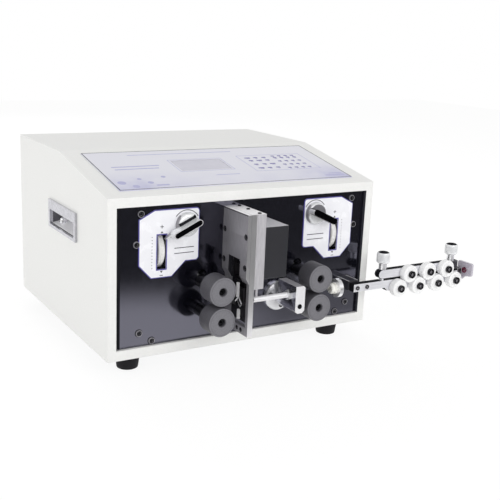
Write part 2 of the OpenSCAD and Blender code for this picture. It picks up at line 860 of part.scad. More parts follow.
module swing_solenoid() {
    length = 16;
    color("#3a3c42") on_case() difference() {
        rod_y(panel_back, panel_back + length, pivot_x, pivot_z, pivot_r + 6);
        rod_y(panel_back - past, panel_back + length - 2, pivot_x, pivot_z, pivot_r + run_fit);
    }
}

module feed_roller(side, z) {
    edge = 0.8;
    r = roller_d / 2;
    color("#4b4b50") on_side(side) translate([roller_u, roller_back, z]) rotate([90, 0, 0])
        difference() {
            rotate_extrude() polygon([[0, 0], [r - edge, 0], [r, edge], [r, roller_len - edge],
                [r - edge, roller_len], [0, roller_len]]);
            translate([0, 0, -past]) cylinder(h = roller_len - hub_depth + past, r = shaft_r + run_fit);
            cylinder(h = roller_len + past, r = hub_r);
        }
}

// Shaft with its clamping screw, collar and gear; a driven shaft goes on into the motor
module feed_shaft(side, z, driven) {
    screw_y = roller_y + 3;
    back = driven ? motor_y - 1 : gear_y + gear_w + 1;
    phase = driven ? 90 : 270 + 180 / feed_teeth;
    tooth = feed_span / feed_teeth;
    color("#b9bcc1") on_side(side) translate([roller_u, 0, z]) {
        difference() {
            rod_y(screw_y, roller_y + hub_depth + 0.5, 0, 0, hub_r - 0.5);
            translate([0, screw_y + 2, 0]) rotate([90, 0, 0]) cylinder(h = 4, r = 1.8, $fn = 6);
        }
        rod_y(roller_y + hub_depth, back, 0, 0, shaft_r);
        rod_y(roller_back, panel_y - slide_fit, 0, 0, collar_r);
        along_y(gear_y, gear_y + gear_w, gear_outline(feed_teeth, feed_span / 2, 0.85 * tooth,
            1.1 * tooth, tooth_slack, phase));
        if (driven)
            rod_y(back - 1, motor_y + 16, 0, 0, motor_shaft_r);
    }
}

// Block that carries an upper shaft; its finger rests on the knob's cam
module lift_block(side) {
    y0 = panel_back + 0.5;
    y1 = y0 + slider_t;
    arm_u0 = roller_u - 4;
    arm_u1 = knob_u - cam_r - lift - 2;
    tip_r = 1.5;
    tip_z = knob_z + cam_r + tip_gap + tip_r;
    top = tip_z + 7;
    color("#8c9096") on_side(side) difference() {
        union() {
            block([roller_u - slider_half, y0, upper_z - 12.5],
                [roller_u + slider_half, y1, upper_z + 20]);
            block([arm_u0, y0, upper_z + 19], [arm_u1, y0 + 8, top]);
            block([arm_u0, y0, tip_z], [knob_u + tip_r, y0 + 8, top]);
            rod_y(y0, y0 + 8, knob_u, tip_z, tip_r);
        }
        rod_y(y0 - past, y1 + past, roller_u, upper_z, shaft_r + run_fit);
    }
}

// Snail cam: its radius grows evenly with the angle, so the lift follows the turn
function cam_outline() =
    let (rate = lift / cam_turn)
    concat(
        [for (a = [-cam_turn - 5:5:5]) (cam_r - rate * a) * [sin(a), cos(a)]],
        [for (a = [20:15:245]) (cam_r - 2) * [sin(a), cos(a)]]);

module lift_knob(side) {
    r = knob_d / 2;
    round_r = 4;
    base_y = plate_y - slide_fit;
    color("silver") on_side(side) translate([knob_u, base_y, knob_z]) {
        rotate([90, 0, 0]) rotate_extrude() polygon(concat(
            [[0, 0], [r, 0], [r, 1.5]], arc([r - round_r, 1.5], round_r, 0, 90), [[0, 5.5]]));
        rotate([0, lever_tilt, 0]) translate([lever_shift, 0, 0]) {
            along_y(-14, -4, slot_outline(lever_len, lever_w));
            along_y(-6, -2, [[lever_len / 2 - 3, -lever_w / 2 + 1],
                [lever_len / 2 + 7, 0], [lever_len / 2 - 3, lever_w / 2 - 1]]);
        }
        rod_y(-1, cam_y + cam_t - base_y, 0, 0, knob_shaft_r);
        along_y(cam_y - base_y, cam_y + cam_t - base_y, cam_outline());
    }
}

module gap_dial(side) {
    rim = 1;
    r = dial_d / 2;
    color("whitesmoke") on_side(side) translate([dial_u, dial_y, dial_z]) rotate([0, 90, 0]) {
        rotate_extrude() polygon([[0, -dial_w / 2], [r - rim, -dial_w / 2], [r, rim - dial_w / 2],
            [r, dial_w / 2 - rim], [r - rim, dial_w / 2], [0, dial_w / 2]]);
        translate([0, 0, -dial_w / 2 - 4.5]) cylinder(h = dial_w + 9, r = dial_pin_r);
    }
}

// Upper holder: rack stem behind the pinion and the body that the upper blade is clamped to;
// above the clamp the body stays behind the lower holder's rack
module upper_blade_holder() {
    back = window_y1 - slide_fit;
    line = pinion_y + pinion_r;
    root = line + tooth_ded;
    front = window_y0 + 5.4;
    inner = pinion_y - pinion_r + tooth_add + 2 * slide_fit;
    body_z0 = wire_z + blade_close;
    clamp_z = wire_z + upper_blade_top - 1;
    body_z1 = body_z0 + 18.5;
    color("#9c9ca2") on_case() {
        along_x(upper_face_x, holder_x1, concat(
            [[back, body_z0], [back, rack_high], [root, rack_high]],
            reverse(rack_edge(line, -1, rack_low, rack_high, PI * pinion_mod,
                tooth_add, tooth_ded, tooth_slack)),
            [[root, body_z1], [inner, body_z1], [inner, clamp_z], [front, clamp_z],
                [front, body_z0]]));
        block([upper_blade_x + blade_t, front, clamp_z - 3.2],
            [upper_face_x + 0.1, wire_y + blade_w / 2, clamp_z]);
    }
}

// Lower holder: its rack stem runs up in front of the wire
module lower_blade_holder() {
    front = window_y0 + slide_fit;
    back = window_y1 - slide_fit;
    stem = window_y0 + 4.8;
    line = pinion_y - pinion_r;
    root = line - tooth_ded;
    top = wire_z - blade_close - 2.5;
    low = window_z0 + blade_open + 1;
    color("#9c9ca2") on_case() along_x(holder_x0, holder_x1, concat(
        [[front, low], [back, low], [back, top], [stem, top], [stem, rack_low - 2],
            [root, rack_low - 2]],
        rack_edge(line, 1, rack_low, rack_high, PI * pinion_mod, tooth_add, tooth_ded, tooth_slack),
        [[root, rack_high], [front, rack_high]]));
}

function reverse(list) = [for (i = [len(list) - 1:-1:0]) list[i]];

// Notched blade, (y, z) from the wire line; its rear half goes on as a shank
function blade_outline(length, shank) = let (half = blade_w / 2, step = -0.75) [
    [-half, -blade_tip], [-notch_depth, -blade_tip], [0, notch_depth - blade_tip],
    [notch_depth, -blade_tip], [half, -blade_tip], [half, length + shank],
    [step, length + shank], [step, length], [-half, length]];

module upper_blade() {
    color("#e4e4e8") on_case() translate([0, wire_y, wire_z])
        along_x(upper_blade_x, upper_blade_x + blade_t, blade_outline(upper_blade_top, 6));
}

module lower_blade() {
    color("#e4e4e8") on_case() translate([0, wire_y, wire_z]) mirror([0, 0, 1])
        along_x(lower_blade_x, lower_blade_x + blade_t, blade_outline(upper_blade_top - 1, 3));
}

module cutter_pinion() {
    color("#a8a8ae") on_case() {
        translate([0, pinion_y, pinion_z]) along_x(holder_x0, holder_x1,
            gear_outline(pinion_teeth, pinion_r, tooth_add, tooth_ded, tooth_slack));
        rod_x(holder_x1 - 1, head_x + 7.5, pinion_y, pinion_z, pinion_shaft_r);
    }
}

module swing_guide() {
    bevel = 3;
    z0 = pivot_z - 7.9;
    z1 = wire_z + 10.5;
    color("#dcdce0") on_case() {
        difference() {
            along_y(guide_front, guide_back, [
                [guide_x0, z0 + bevel], [guide_x0 + bevel, z0], [guide_x1 - bevel, z0],
                [guide_x1, z0 + bevel], [guide_x1, z1 - 2], [guide_x1 - 2, z1], [guide_x0, z1]]);
            rod_x(guide_x0 - past, guide_x0 + tube_seat, wire_y, wire_z, tube_d / 2 + run_fit);
            rod_x(guide_x0, guide_x1 + past, wire_y, wire_z, tube_bore / 2 + 0.3);
            rod_y(guide_front - past, guide_front + 6, pivot_x, pivot_z, 2.7);
        }
        rod_y(guide_back - 1, panel_back + 12, pivot_x, pivot_z, pivot_r);
    }
}

module guide_tube() {
    nut_x = guide_x0 - nut_len;
    color("#e6e6ea") on_case() difference() {
        union() {
            rod_x(tube_end_x, guide_x0 + tube_seat, wire_y, wire_z, tube_d / 2);
            translate([nut_x, wire_y, wire_z]) rotate([0, 90, 0])
                cylinder(h = nut_len, r = tube_d / 2 + 2.8, $fn = 6);
        }
        rod_x(tube_end_x - past, guide_x0 + tube_seat + past, wire_y, wire_z, tube_bore / 2);
    }
}

module upper_bar() {
    x0 = thumb_x[0] - 7.6;
    x1 = thumb_x[1] + 9;
    nose = upper_bar_h / 2;
    middle = upper_bar_z0 + nose;
    color("#d0d0d4") on_case() difference() {
        along_y(bar_front, bar_back, concat(
            arc([x0 + nose, middle], nose, 90, 270), [[x1, upper_bar_z0], [x1, upper_bar_z1]]));
        for (x = thumb_x)
            rod_z(upper_bar_z0 - past, upper_bar_z1 + past, x, thumb_y, thumb_r + run_fit);
    }
}

module upper_axles() {
    color("#2a2a2e") on_case() for (i = [0:2])
        translate([wheel_x + (i + 0.5) * wheel_pitch, 0, upper_wheel_z]) wheel_axle();
}

module thumbscrew(x) {
    seat = upper_bar_z1 + slide_fit;
    neck = seat + 7.6;
    cap_h = 13;
    edge = 1.2;
    r = cap_d / 2;
    color("silver") on_case() translate([x, thumb_y, 0]) {
        rod_z(lower_bar_z1 - 5, seat + 1, 0, 0, thumb_r);
        rod_z(seat, neck + 1, 0, 0, thumb_r + 0.75);
        translate([0, 0, neck]) rotate_extrude() polygon([[0, 0], [r - edge, 0], [r, edge],
            [r, cap_h - edge], [r - edge, cap_h], [0, cap_h]]);
    }
}

module wheel(x, z) {
    edge = 1;
    r = wheel_d / 2;
    color("white") on_case() translate([x, wheel_back, z]) rotate([90, 0, 0]) difference() {
        rotate_extrude() polygon([[0, 0], [r - edge, 0], [r, edge], [r, wheel_w - edge],
            [r - edge, wheel_w], [0, wheel_w]]);
        translate([0, 0, -past]) cylinder(h = wheel_w + 2 * past, r = axle_r + run_fit);
    }
}

module lower_wheel(i) {
    wheel(wheel_x + (i - 1) * wheel_pitch, lower_wheel_z);
}

module upper_wheel(i) {
    wheel(wheel_x + (i - 0.5) * wheel_pitch, upper_wheel_z);
}

case_shell();
base_plate();
rear_panel();
front_panel();
rubber_feet();
socket_screws();
side_handles();
control_overlay();
lcd_module();
power_supply();
adjuster_plates();
slide_rails();
feed_motors();
cutter_motor();
head_block();
head_plate();
head_cover();
drive_cover();
pivot_flange();
inlet_guide();
inlet_nozzle();
straightener_bracket();
lower_bar();
eyelet_plate();
eyelet();
power_inlet();
swing_solenoid();
feed_roller(-1, lower_z);  // left_lower_roller
feed_shaft(-1, lower_z, true);  // left_lower_shaft
feed_roller(-1, upper_z);  // left_upper_roller
feed_shaft(-1, upper_z, false);  // left_upper_shaft
feed_roller(1, lower_z);  // right_lower_roller
feed_shaft(1, lower_z, true);  // right_lower_shaft
feed_roller(1, upper_z);  // right_upper_roller
feed_shaft(1, upper_z, false);  // right_upper_shaft
lift_block(-1);  // left_lift_block
lift_block(1);  // right_lift_block
lift_knob(-1);  // left_lift_knob
lift_knob(1);  // right_lift_knob
gap_dial(-1);  // left_gap_dial
gap_dial(1);  // right_gap_dial
upper_blade_holder();
upper_blade();
lower_blade_holder();
lower_blade();
cutter_pinion();
swing_guide();
guide_tube();
upper_bar();
upper_axles();
thumbscrew(thumb_x[0]);  // left_thumbscrew
thumbscrew(thumb_x[1]);  // right_thumbscrew
lower_wheel(1);  // lower_wheel_1
lower_wheel(2);  // lower_wheel_2
lower_wheel(3);  // lower_wheel_3
lower_wheel(4);  // lower_wheel_4
upper_wheel(1);  // upper_wheel_1
upper_wheel(2);  // upper_wheel_2
upper_wheel(3);  // upper_wheel_3
power_rocker();
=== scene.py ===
# %% [markdown]
# # A bench machine that cuts and strips wire
# The solids of the machine come in as a fixed frame, each one already in its place in metres. This
# lesson gives them their finishes, rounds the edges that a real workshop would break, and adds the
# small things that the eye looks for: printed marks, knurls, turned rings, screws and washers.

# %% Load the solids
import json
import math

import bmesh
import bpy
import numpy as np
from mathutils import Matrix, Vector


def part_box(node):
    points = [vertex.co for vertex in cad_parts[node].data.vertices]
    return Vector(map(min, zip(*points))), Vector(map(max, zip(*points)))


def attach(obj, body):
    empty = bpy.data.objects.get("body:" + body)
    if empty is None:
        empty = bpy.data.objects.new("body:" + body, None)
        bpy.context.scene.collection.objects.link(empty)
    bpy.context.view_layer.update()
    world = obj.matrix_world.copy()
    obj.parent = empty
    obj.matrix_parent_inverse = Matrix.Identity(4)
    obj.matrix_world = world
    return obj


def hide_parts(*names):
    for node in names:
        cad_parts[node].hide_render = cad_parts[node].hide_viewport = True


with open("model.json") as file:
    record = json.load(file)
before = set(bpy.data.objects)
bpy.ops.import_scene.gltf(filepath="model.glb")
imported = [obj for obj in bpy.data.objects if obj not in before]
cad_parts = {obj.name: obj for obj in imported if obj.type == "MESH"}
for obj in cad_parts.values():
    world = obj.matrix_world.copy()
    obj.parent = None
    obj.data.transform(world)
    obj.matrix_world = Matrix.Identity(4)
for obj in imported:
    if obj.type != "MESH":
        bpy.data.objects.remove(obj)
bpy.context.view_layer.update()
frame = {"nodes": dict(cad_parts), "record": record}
scene = bpy.context.scene

# %% [markdown]
# ## Measures
# The machine is drawn in millimetres from the middle of the lower front edge of its case: x to the
# right, y to the back, z up. One function turns such points into the frame's metres, so every piece
# below can be written with the numbers that a drawing of the machine would show.

# %% Millimetres of the case to metres of the frame
X, Y, Z = 0, 1, 2
case_low, case_high = (np.array(corner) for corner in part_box("case_shell"))
CASE_ORIGIN = np.array([(case_low[X] + case_high[X]) / 2, case_low[Y], case_low[Z]])


def in_frame(points):
    """Points in case millimetres become frame metres: a thousandth of each, moved by the case's origin."""
    return np.asarray(points, float) / 1000 + CASE_ORIGIN


print("case origin in the frame:", CASE_ORIGIN.round(4))

# %% [markdown]
# ## Camera
# The machine is seen from its front left and from a little above. The numbers were worked out from the
# straight edges of the case, and the small roll is part of them: the picture leans by two and a half
# degrees.

# %% Camera
EYE, LENS, SENSOR = (-451.36, -730.2, 321.62), 60.51, 36
TURN, TILT, ROLL = (math.radians(angle) for angle in (31.69, 14.44, 2.55))


def show(name, data):
    """A new object in the scene that holds the data."""
    thing = bpy.data.objects.new(name, data)
    scene.collection.objects.link(thing)
    return thing


forward = np.array([math.sin(TURN) * math.cos(TILT), math.cos(TURN) * math.cos(TILT), -math.sin(TILT)])
level = np.cross(forward, (0, 0, 1))
level /= np.linalg.norm(level)
upright = np.cross(level, forward)
right = level * math.cos(ROLL) + upright * math.sin(ROLL)
up = upright * math.cos(ROLL) - level * math.sin(ROLL)
placed = np.eye(4)
placed[:3, :3] = np.column_stack([right, up, -forward])
placed[:3, 3] = in_frame(EYE)
camera = show("camera", bpy.data.cameras.new("camera"))
camera.data.lens, camera.data.sensor_width = LENS, SENSOR
camera.matrix_world = Matrix(placed.tolist())
scene.camera = camera
print("camera at", placed[:3, 3].round(3))

# %% [markdown]
# ## Colours and nodes
# Colours are written as the hex values of a paint chart and turned to the linear light that a shader
# works in. One small function adds any node, writes its settings and joins its sockets, so that the
# recipe of a finish stays readable.

# %% Colour and node helpers
def paint(code):
    """A hex colour as linear red, green, blue and alpha: the sRGB curve is undone channel by channel."""
    srgb = np.array([int(code[i:i + 2], 16) for i in (1, 3, 5)]) / 255
    linear = np.where(srgb <= 0.04045, srgb / 12.92, ((srgb + 0.055) / 1.055) ** 2.4)
    return (*linear.tolist(), 1.0)


def add(tree, kind, sockets=(), **settings):
    """Adds one node. Settings are its own fields. Sockets, by name or in order, get a value, or a link
    where an output is given; a node stands for its first output."""
    node = tree.nodes.new("ShaderNode" + kind)
    for field, value in settings.items():
        setattr(node, field, value)
    for socket, value in sockets.items() if isinstance(sockets, dict) else enumerate(sockets):
        if isinstance(value, bpy.types.Node):
            value = value.outputs[0]
        if isinstance(value, bpy.types.NodeSocket):
            tree.links.new(value, node.inputs[socket])
        else:
            node.inputs[socket].default_value = value
    return node


def blank(name):
    """A new material and its empty node tree."""
    material = bpy.data.materials.new(name)
    material.use_nodes = True
    material.node_tree.nodes.clear()
    return material, material.node_tree


WHITE = paint("#FFFFFF")
print("white is", WHITE)

# %% [markdown]
# ## Floor and light
# The machine stands on a pale floor that runs out to white, as in a product photograph. The floor and
# the sky show themselves white to the camera, while the light that falls on the machine stays at a
# plain level. A part of the floor's own shading is kept, so the feet have their shadow.

# %% Floor
FLOOR_SIZE = 6.0
half = FLOOR_SIZE / 2
floor_corners = [(-half, -half, 0), (half, -half, 0), (half, half, 0), (-half, half, 0)]
floor_mesh = bpy.data.meshes.new("floor")
floor_mesh.from_pydata(floor_corners, [], [(0, 1, 2, 3)])
show("floor", floor_mesh)
print("floor", FLOOR_SIZE, "m wide")

# %% [markdown]
# What polished metal mirrors is a studio: the lit table near the machine is white, and the room beyond
# it grows dark, which gives chrome its black and white bands. A round spot and three strips across the
# table are ramps over the floor's own metres, and the brightest of them is what shows.

# %% Paper of the floor
KEPT_SHADE, PAPER_GLOW, PAPER_MM = 0.16, 1.04, 2.5
LIT_SPOT, SPOT_SQUEEZE = (-0.104, -0.24, 0.0), (0.65, 1, 1)
SPOT_NEAR, SPOT_FAR, SPOT_GLOW = 0.05, 0.2, 1.1
ROOM_DARK, FRONT_GLOW = 0.06, 0.42
FRONT_STRIP, NEAR_STRIP, BACK_STRIP = (-0.45, -0.25), (-0.222, -0.17), (-0.1, 0.15)


def seen_rays(tree):
    """One where a ray comes from the camera, a mirror or a clear material, and nought for other light."""
    rays = add(tree, "LightPath").outputs
    glossy = add(tree, "Math", [rays["Is Camera Ray"], rays["Is Glossy Ray"]], operation="MAXIMUM")
    return add(tree, "Math", [glossy, rays["Is Transmission Ray"]], operation="MAXIMUM")


paper, tree = blank("white_sweep_paper")
place = add(tree, "TexCoord").outputs["Object"]
grain = add(tree, "TexNoise", {"Vector": place, "Scale": 1000 / PAPER_MM})
tone = add(tree, "Mix", {0: grain, 6: paint("#F8F8F7"), 7: paint("#FEFEFD")}, data_type="RGBA")
shaded = add(tree, "BsdfDiffuse", {"Color": tone.outputs[2]})
squeezed = add(tree, "Mapping", {"Vector": place, "Scale": SPOT_SQUEEZE})
away = add(tree, "VectorMath", [squeezed, LIT_SPOT], operation="DISTANCE").outputs["Value"]
mirrored = add(tree, "MapRange", [away, SPOT_NEAR, SPOT_FAR, SPOT_GLOW, ROOM_DARK],
               interpolation_type="SMOOTHSTEP")
depth = add(tree, "SeparateXYZ", [place]).outputs[Y]
for strip in ((*FRONT_STRIP, ROOM_DARK, FRONT_GLOW), (*NEAR_STRIP, 0.0, 1.0), (*BACK_STRIP, 0.0, 1.0)):
    ramp = add(tree, "MapRange", [depth, *strip])
    mirrored = add(tree, "Math", [mirrored, ramp], operation="MAXIMUM")
rays = add(tree, "LightPath").outputs
strength = add(tree, "Mix", {0: rays["Is Glossy Ray"], 2: PAPER_GLOW, 3: mirrored})
glow = add(tree, "Emission", {"Color": WHITE, "Strength": strength})
share = add(tree, "Math", [rays["Is Camera Ray"], -KEPT_SHADE, seen_rays(tree)], operation="MULTIPLY_ADD")
add(tree, "OutputMaterial", {"Surface": add(tree, "MixShader", [share, shaded, glow])})
floor_mesh.materials.append(paper)
print("paper keeps", KEPT_SHADE, "of its shade")

# %% [markdown]
# The sky lights the machine evenly and less from above. In a mirror it is a room: a dim wall that grows
# white upwards, and a ceiling that grows dark.

# %% Sky
SKY_LIGHT, OVERHEAD = 1.2, 0.35
CEILING, WALL = (0.45, 0.95, 1.0, 0.2), (0.0, 0.3, 0.25, 1.0)
scene.world = bpy.data.worlds.new("studio")
scene.world.use_nodes = True
tree = scene.world.node_tree
tree.nodes.clear()
rise = add(tree, "SeparateXYZ", [add(tree, "TexCoord").outputs["Generated"]]).outputs[Z]
fading = add(tree, "MapRange", [rise, 0, 1, SKY_LIGHT, SKY_LIGHT * OVERHEAD])
ceiling, wall = (add(tree, "MapRange", [rise, *ramp]) for ramp in (CEILING, WALL))
room = add(tree, "Math", [ceiling, wall], operation="MULTIPLY")
glossy = add(tree, "LightPath").outputs["Is Glossy Ray"]
mirrored = add(tree, "Mix", {0: glossy, 6: WHITE, 7: room}, data_type="RGBA")
lit = add(tree, "Background", {"Color": WHITE, "Strength": fading})
shown = add(tree, "Background", {"Color": mirrored.outputs[2], "Strength": 1.0})
add(tree, "OutputWorld", {"Surface": add(tree, "MixShader", [seen_rays(tree), lit, shown])})
scene.view_settings.view_transform = "Standard"
print("sky light", SKY_LIGHT)

# %% [markdown]
# Three soft boxes model the form: one in front, a weak one at the left, and one behind for the rear
# panel, which stays out of the mirrors.

# %% Lamps
MACHINE = Vector((-0.05, 0.0, 0.1))


def lamp(name, place, size, watts):
    """A square soft box at a place, in frame metres, that looks at the machine."""
    box = show(name, bpy.data.lights.new(name, "AREA"))
    box.data.size, box.data.energy = size, watts
    aim = (MACHINE - Vector(place)).to_track_quat("-Z", "Y")
    box.matrix_world = Matrix.LocRotScale(Vector(place), aim, None)
    box.visible_camera = False
    return box


lamp("front_box", (0.15, -1.9, 0.95), 1.5, 12)
lamp("left_box", (-1.9, 0.1, 0.9), 1.4, 4.6)
lamp("back_box", (0.1, 1.85, 1.2), 1.2, 10).visible_glossy = False
print("lamps:", len(bpy.data.lights))

# %% [markdown]
# ## Finishes
# Most surfaces of the machine follow one pattern: a colour that drifts between two close tones, a
# roughness that drifts with it, and a fine relief. What makes paint, nylon or ground steel of it is the
# size of the pattern, how far it is drawn out along the tool's direction, and the numbers of the
# shader. Sizes are given in millimetres of the real surface.

# %% One recipe for the plain finishes
NOISE_LOW, NOISE_HIGH = 0.3, 0.7


def finish(name, dark, light, size_mm, rough, relief_mm=0.0, drawn=(1, 1, 1), **shader):
    """Noise of the given size on the piece's own coordinates, drawn out by the scale of each axis, blends two
    tones, a pair of roughness values and a relief in millimetres; shader holds the constant sockets."""
    material, tree = blank(name)
    place = add(tree, "TexCoord").outputs["Object"]
    stretched = add(tree, "Mapping", {"Vector": place, "Scale": drawn})
    grain = add(tree, "TexNoise", {"Vector": stretched, "Scale": 1000 / size_mm, "Detail": 3.0})
    even = add(tree, "MapRange", [grain, NOISE_LOW, NOISE_HIGH])
    tone = add(tree, "Mix", {0: even, 6: paint(dark), 7: paint(light)}, data_type="RGBA")
    sockets = {"Base Color": tone.outputs[2], "Roughness": add(tree, "MapRange", [even, 0, 1, *rough])}
    if relief_mm:
        sockets["Normal"] = add(tree, "Bump", {"Height": even, "Distance": relief_mm / 1000, "Strength": 1.0})
    sockets.update({socket.replace("_", " "): value for socket, value in shader.items()})
    add(tree, "OutputMaterial", {"Surface": add(tree, "BsdfPrincipled", sockets)})
    return material


# Powder coat: an even warm white with the faint orange peel of melted powder, drawn at 1.6 mm so that
# it shows.
powder_coat = finish("warm_white_powder_coat", "#EAEAE8", "#EEEEEC", 1.6, (0.38, 0.46), 0.02)
print("recipe tried on", powder_coat.name)

# %% [markdown]
# Paints, plastics and rubber differ most in their roughness and in the size of their tooth: moulded
# faces are even, ground ones are specked, and inks are matt.

# %% Paints, plastics, rubber and inks
# Rubber: near black, dull, with a fine moulded tooth.
foot_rubber = finish("moulded_foot_rubber", "#131215", "#1D1C20", 0.9, (0.6, 0.75), 0.03,
                     Specular_IOR_Level=0.2)
# Satin black paint on folded sheet: soft sheen, fine peel.
satin_black = finish("satin_black_paint", "#1E1E25", "#28282F", 1.2, (0.3, 0.4), 0.01, IOR=1.9)
# The same black paint in a lighter grey, for the drive cover's upper faces: a painted highlight where they
# mirror the light.
painted_highlight_black = finish("black_paint_painted_highlight", "#C0BFC4", "#D6D5DA", 1.6, (0.4, 0.5), 0.01)
# Painted laminations and end caps of the motors: black with a soft sheen.
motor_black = finish("motor_black_paint", "#222327", "#2D2E33", 1.0, (0.4, 0.5), 0.01)
# Grey paint on the straightener's end plate: a coarse, hammered peel.
grey_paint = finish("grey_hammer_paint", "#B3ADBA", "#C9C4CF", 1.8, (0.3, 0.42), 0.02)
# Nylon: white and waxy.
nylon = finish("turned_white_nylon", "#F4F4F5", "#FBFBFB", 1.5, (0.36, 0.46), 0.006)
# Polyurethane on the feed rollers: mid grey, ground dull, with fine specks.
roller_skin = finish("ground_grey_polyurethane", "#434247", "#5E5D63", 0.7, (0.46, 0.58), 0.02)
# The same polyurethane in a paler grey, for the front faces of the rollers; it also draws the painted
# reflection on the right knob's disc.
pale_grey_face = finish("pale_grey_polyurethane", "#69686D", "#7C7B81", 0.6, (0.5, 0.62), 0.02)
# Acetal: ivory, smooth, slightly waxy.
acetal = finish("ivory_acetal", "#FAF8F0", "#FEFDF8", 2.0, (0.3, 0.4))
# Moulded thumbwheel: cream plastic with a fine tooth.
cream = finish("cream_moulded_plastic", "#E2E1DF", "#EDECEA", 1.5, (0.36, 0.46), 0.01)
# Acrylic sheet of the adjuster plates: white with a cool cast, and glossy.
acrylic = finish("white_acrylic_sheet", "#EFEFF4", "#F6F6FA", 12.0, (0.22, 0.3))
# Moulded nylon of the mains inlet, dull black, and its red rocker, which is glossy.
inlet_black = finish("moulded_black_nylon", "#17171A", "#202024", 0.8, (0.42, 0.52), 0.01)
rocker_red = finish("moulded_red_polycarbonate", "#A3141B", "#B41B22", 1.2, (0.16, 0.22))
# Dark tone for the inner walls of the frame round the panel: painted shade in the gap, matt with a fine tooth.
frame_gap_painted_shade = finish("dark_painted_shade_strip", "#3A3A42", "#46464F", 0.6, (0.7, 0.85), 0.03)
# Synthetic ruby: deep red, polished.
ruby = finish("polished_synthetic_ruby", "#5A0D2E", "#74143D", 1.0, (0.05, 0.09), IOR=1.76)
# Display: grey glass over the liquid crystal cell.
display_glass = finish("grey_display_glass", "#BFBECB", "#C9C8D4", 20.0, (0.08, 0.12))
# Inks on the acrylic and on the film: matt, a touch uneven as screen print is.
# The black ink also draws the painted shadow line along the top of the head's cover.
black_ink = finish("black_screen_ink_and_painted_shadow", "#26252C", "#35343B", 0.8, (0.5, 0.6))
indigo_ink = finish("indigo_screen_ink", "#4A4390", "#5B54A6", 0.8, (0.4, 0.5))
lilac_ink = finish("lilac_screen_ink", "#A9A9CF", "#B9B9DA", 0.8, (0.4, 0.5))
print("materials so far:", len(bpy.data.materials))

# %% [markdown]
# Metals take their look from the tool: turning, grinding and brushing leave scratches, so the noise is
# drawn out along their direction. Scratches are finer than a pixel, and are drawn at half a millimetre
# so that they show. Where a plate is hazed by handling, it is given as partly metal, which keeps its
# mirror from going quite black.

# %% Plated and blackened metals
# Anodised sheet, dyed black and buffed: nearly black, and a stronger mirror than paint, with a slight
# haze.
black_panel = finish("buffed_black_anodised_sheet", "#08080E", "#0D0D14", 9.0, (0.09, 0.14), IOR=2.4,
                     Specular_Tint=(0.83, 0.82, 1.0, 1.0))
# Zinc plate: blue-grey crystals of a few millimetres.
zinc_plate = finish("zinc_plated_sheet", "#A9ADB1", "#C3C6CA", 3.0, (0.3, 0.42), Metallic=1.0)
# Phosphate on bars and caps: black and dry, with next to no gloss. The same black also draws the painted shade
# round the panel screws, the painted shadow at the panel's left edge and the painted shade in the blade slot.
dull_black = finish("phosphated_black_and_painted_shade", "#141418", "#202025", 0.8, (0.6, 0.7), 0.01,
                    Specular_IOR_Level=0.04)
# Black oxide on screws: dark and oily, a little lighter in spots.
black_oxide = finish("black_oxide_steel", "#1B1B1E", "#2A2A2E", 0.8, (0.24, 0.36), Metallic=0.8)
# Chrome plate: bright and smooth, with the softest haze of wiping.
chrome = finish("bright_chrome_plate", "#D6D7DA", "#E6E7EA", 6.0, (0.05, 0.1), Metallic=1.0)
# Polished flange and ring: chrome with the haze of handling.
hazed_chrome = finish("hazed_chrome_plate", "#F0F0F4", "#FAFAFC", 5.0, (0.08, 0.14), Metallic=0.68)
# Chrome over knurls and knobs: broken up by the tool, so it looks white more than it mirrors.
knurl_chrome = finish("knurled_chrome_plate", "#E6E7EA", "#F8F9FA", 0.9, (0.16, 0.28), Metallic=0.22)
# Die-cast zinc under thin chrome, as on flush handles: greyer and a little softer.
# The same greyer chrome gives the left face of the guide block its painted dark reflection.
handle_chrome = finish("satin_chrome_casting_and_painted_reflection", "#BDBDC3", "#D4D4DA", 2.5, (0.14, 0.24), Metallic=1.0)
# Pressed nickel inside the handle cups in two tones: pale on the bend as painted light, dark on the end
# walls as painted shade.
cup_painted_light = finish("nickel_pressing_painted_light", "#F2F1F5", "#FCFCFD", 2.0, (0.3, 0.4), Metallic=0.15)
cup_painted_shade = finish("nickel_wall_painted_shade", "#48474D", "#65646A", 4.0, (0.3, 0.4), drawn=(1, 1, 0.4),
                   Metallic=0.3)
# Chrome painted near black for the faces of the lever grips and a mark on the left disc: a painted dark
# reflection that is still a mirror.
chrome_painted_dark = finish("chrome_painted_dark_reflection", "#17171B", "#212126", 3.0, (0.12, 0.2), Metallic=0.9)
print("materials so far:", len(bpy.data.materials))

# %% [markdown]
# Bare steel and aluminium show the tool itself. The same steel gets several finishes, because a rolled
# face, a ground edge and a milled end catch the light in quite different ways.

# %% Bare metals
UPRIGHT, UP_FINE = (1, 1, 0.05), (1, 1, 0.1)
# Turned steel left bright: fine tool marks across the axis of the wire.
turned_steel = finish("turned_bright_steel", "#C6C7CB", "#E2E3E6", 0.7, (0.12, 0.22), drawn=(3, 0.3, 0.3),
                      Metallic=1.0)
# Ground steel: long pale scratches of the wheel, up and down the head.
ground_steel = finish("ground_tool_steel", "#B2B0B5", "#CCCACE", 0.5, (0.44, 0.56), 0.002, UPRIGHT,
                      Metallic=0.3)
# The plates of the head are greyer, as steel is when it is only rolled and deburred.
# The same grey also paints the shade on the left of the knob discs and the highlights in the socket floors.
rolled_steel = finish("rolled_plate_steel_and_painted_light", "#908E94", "#AAA8AD", 0.5, (0.4, 0.52), 0.002, UPRIGHT,
                      Metallic=0.5)
# Their narrow front edges are ground, and mirror the table in a soft streak.
edge_steel = finish("ground_edge_steel", "#EDECEF", "#FAF9FB", 0.5, (0.28, 0.32), drawn=UPRIGHT,
                    Metallic=0.9)
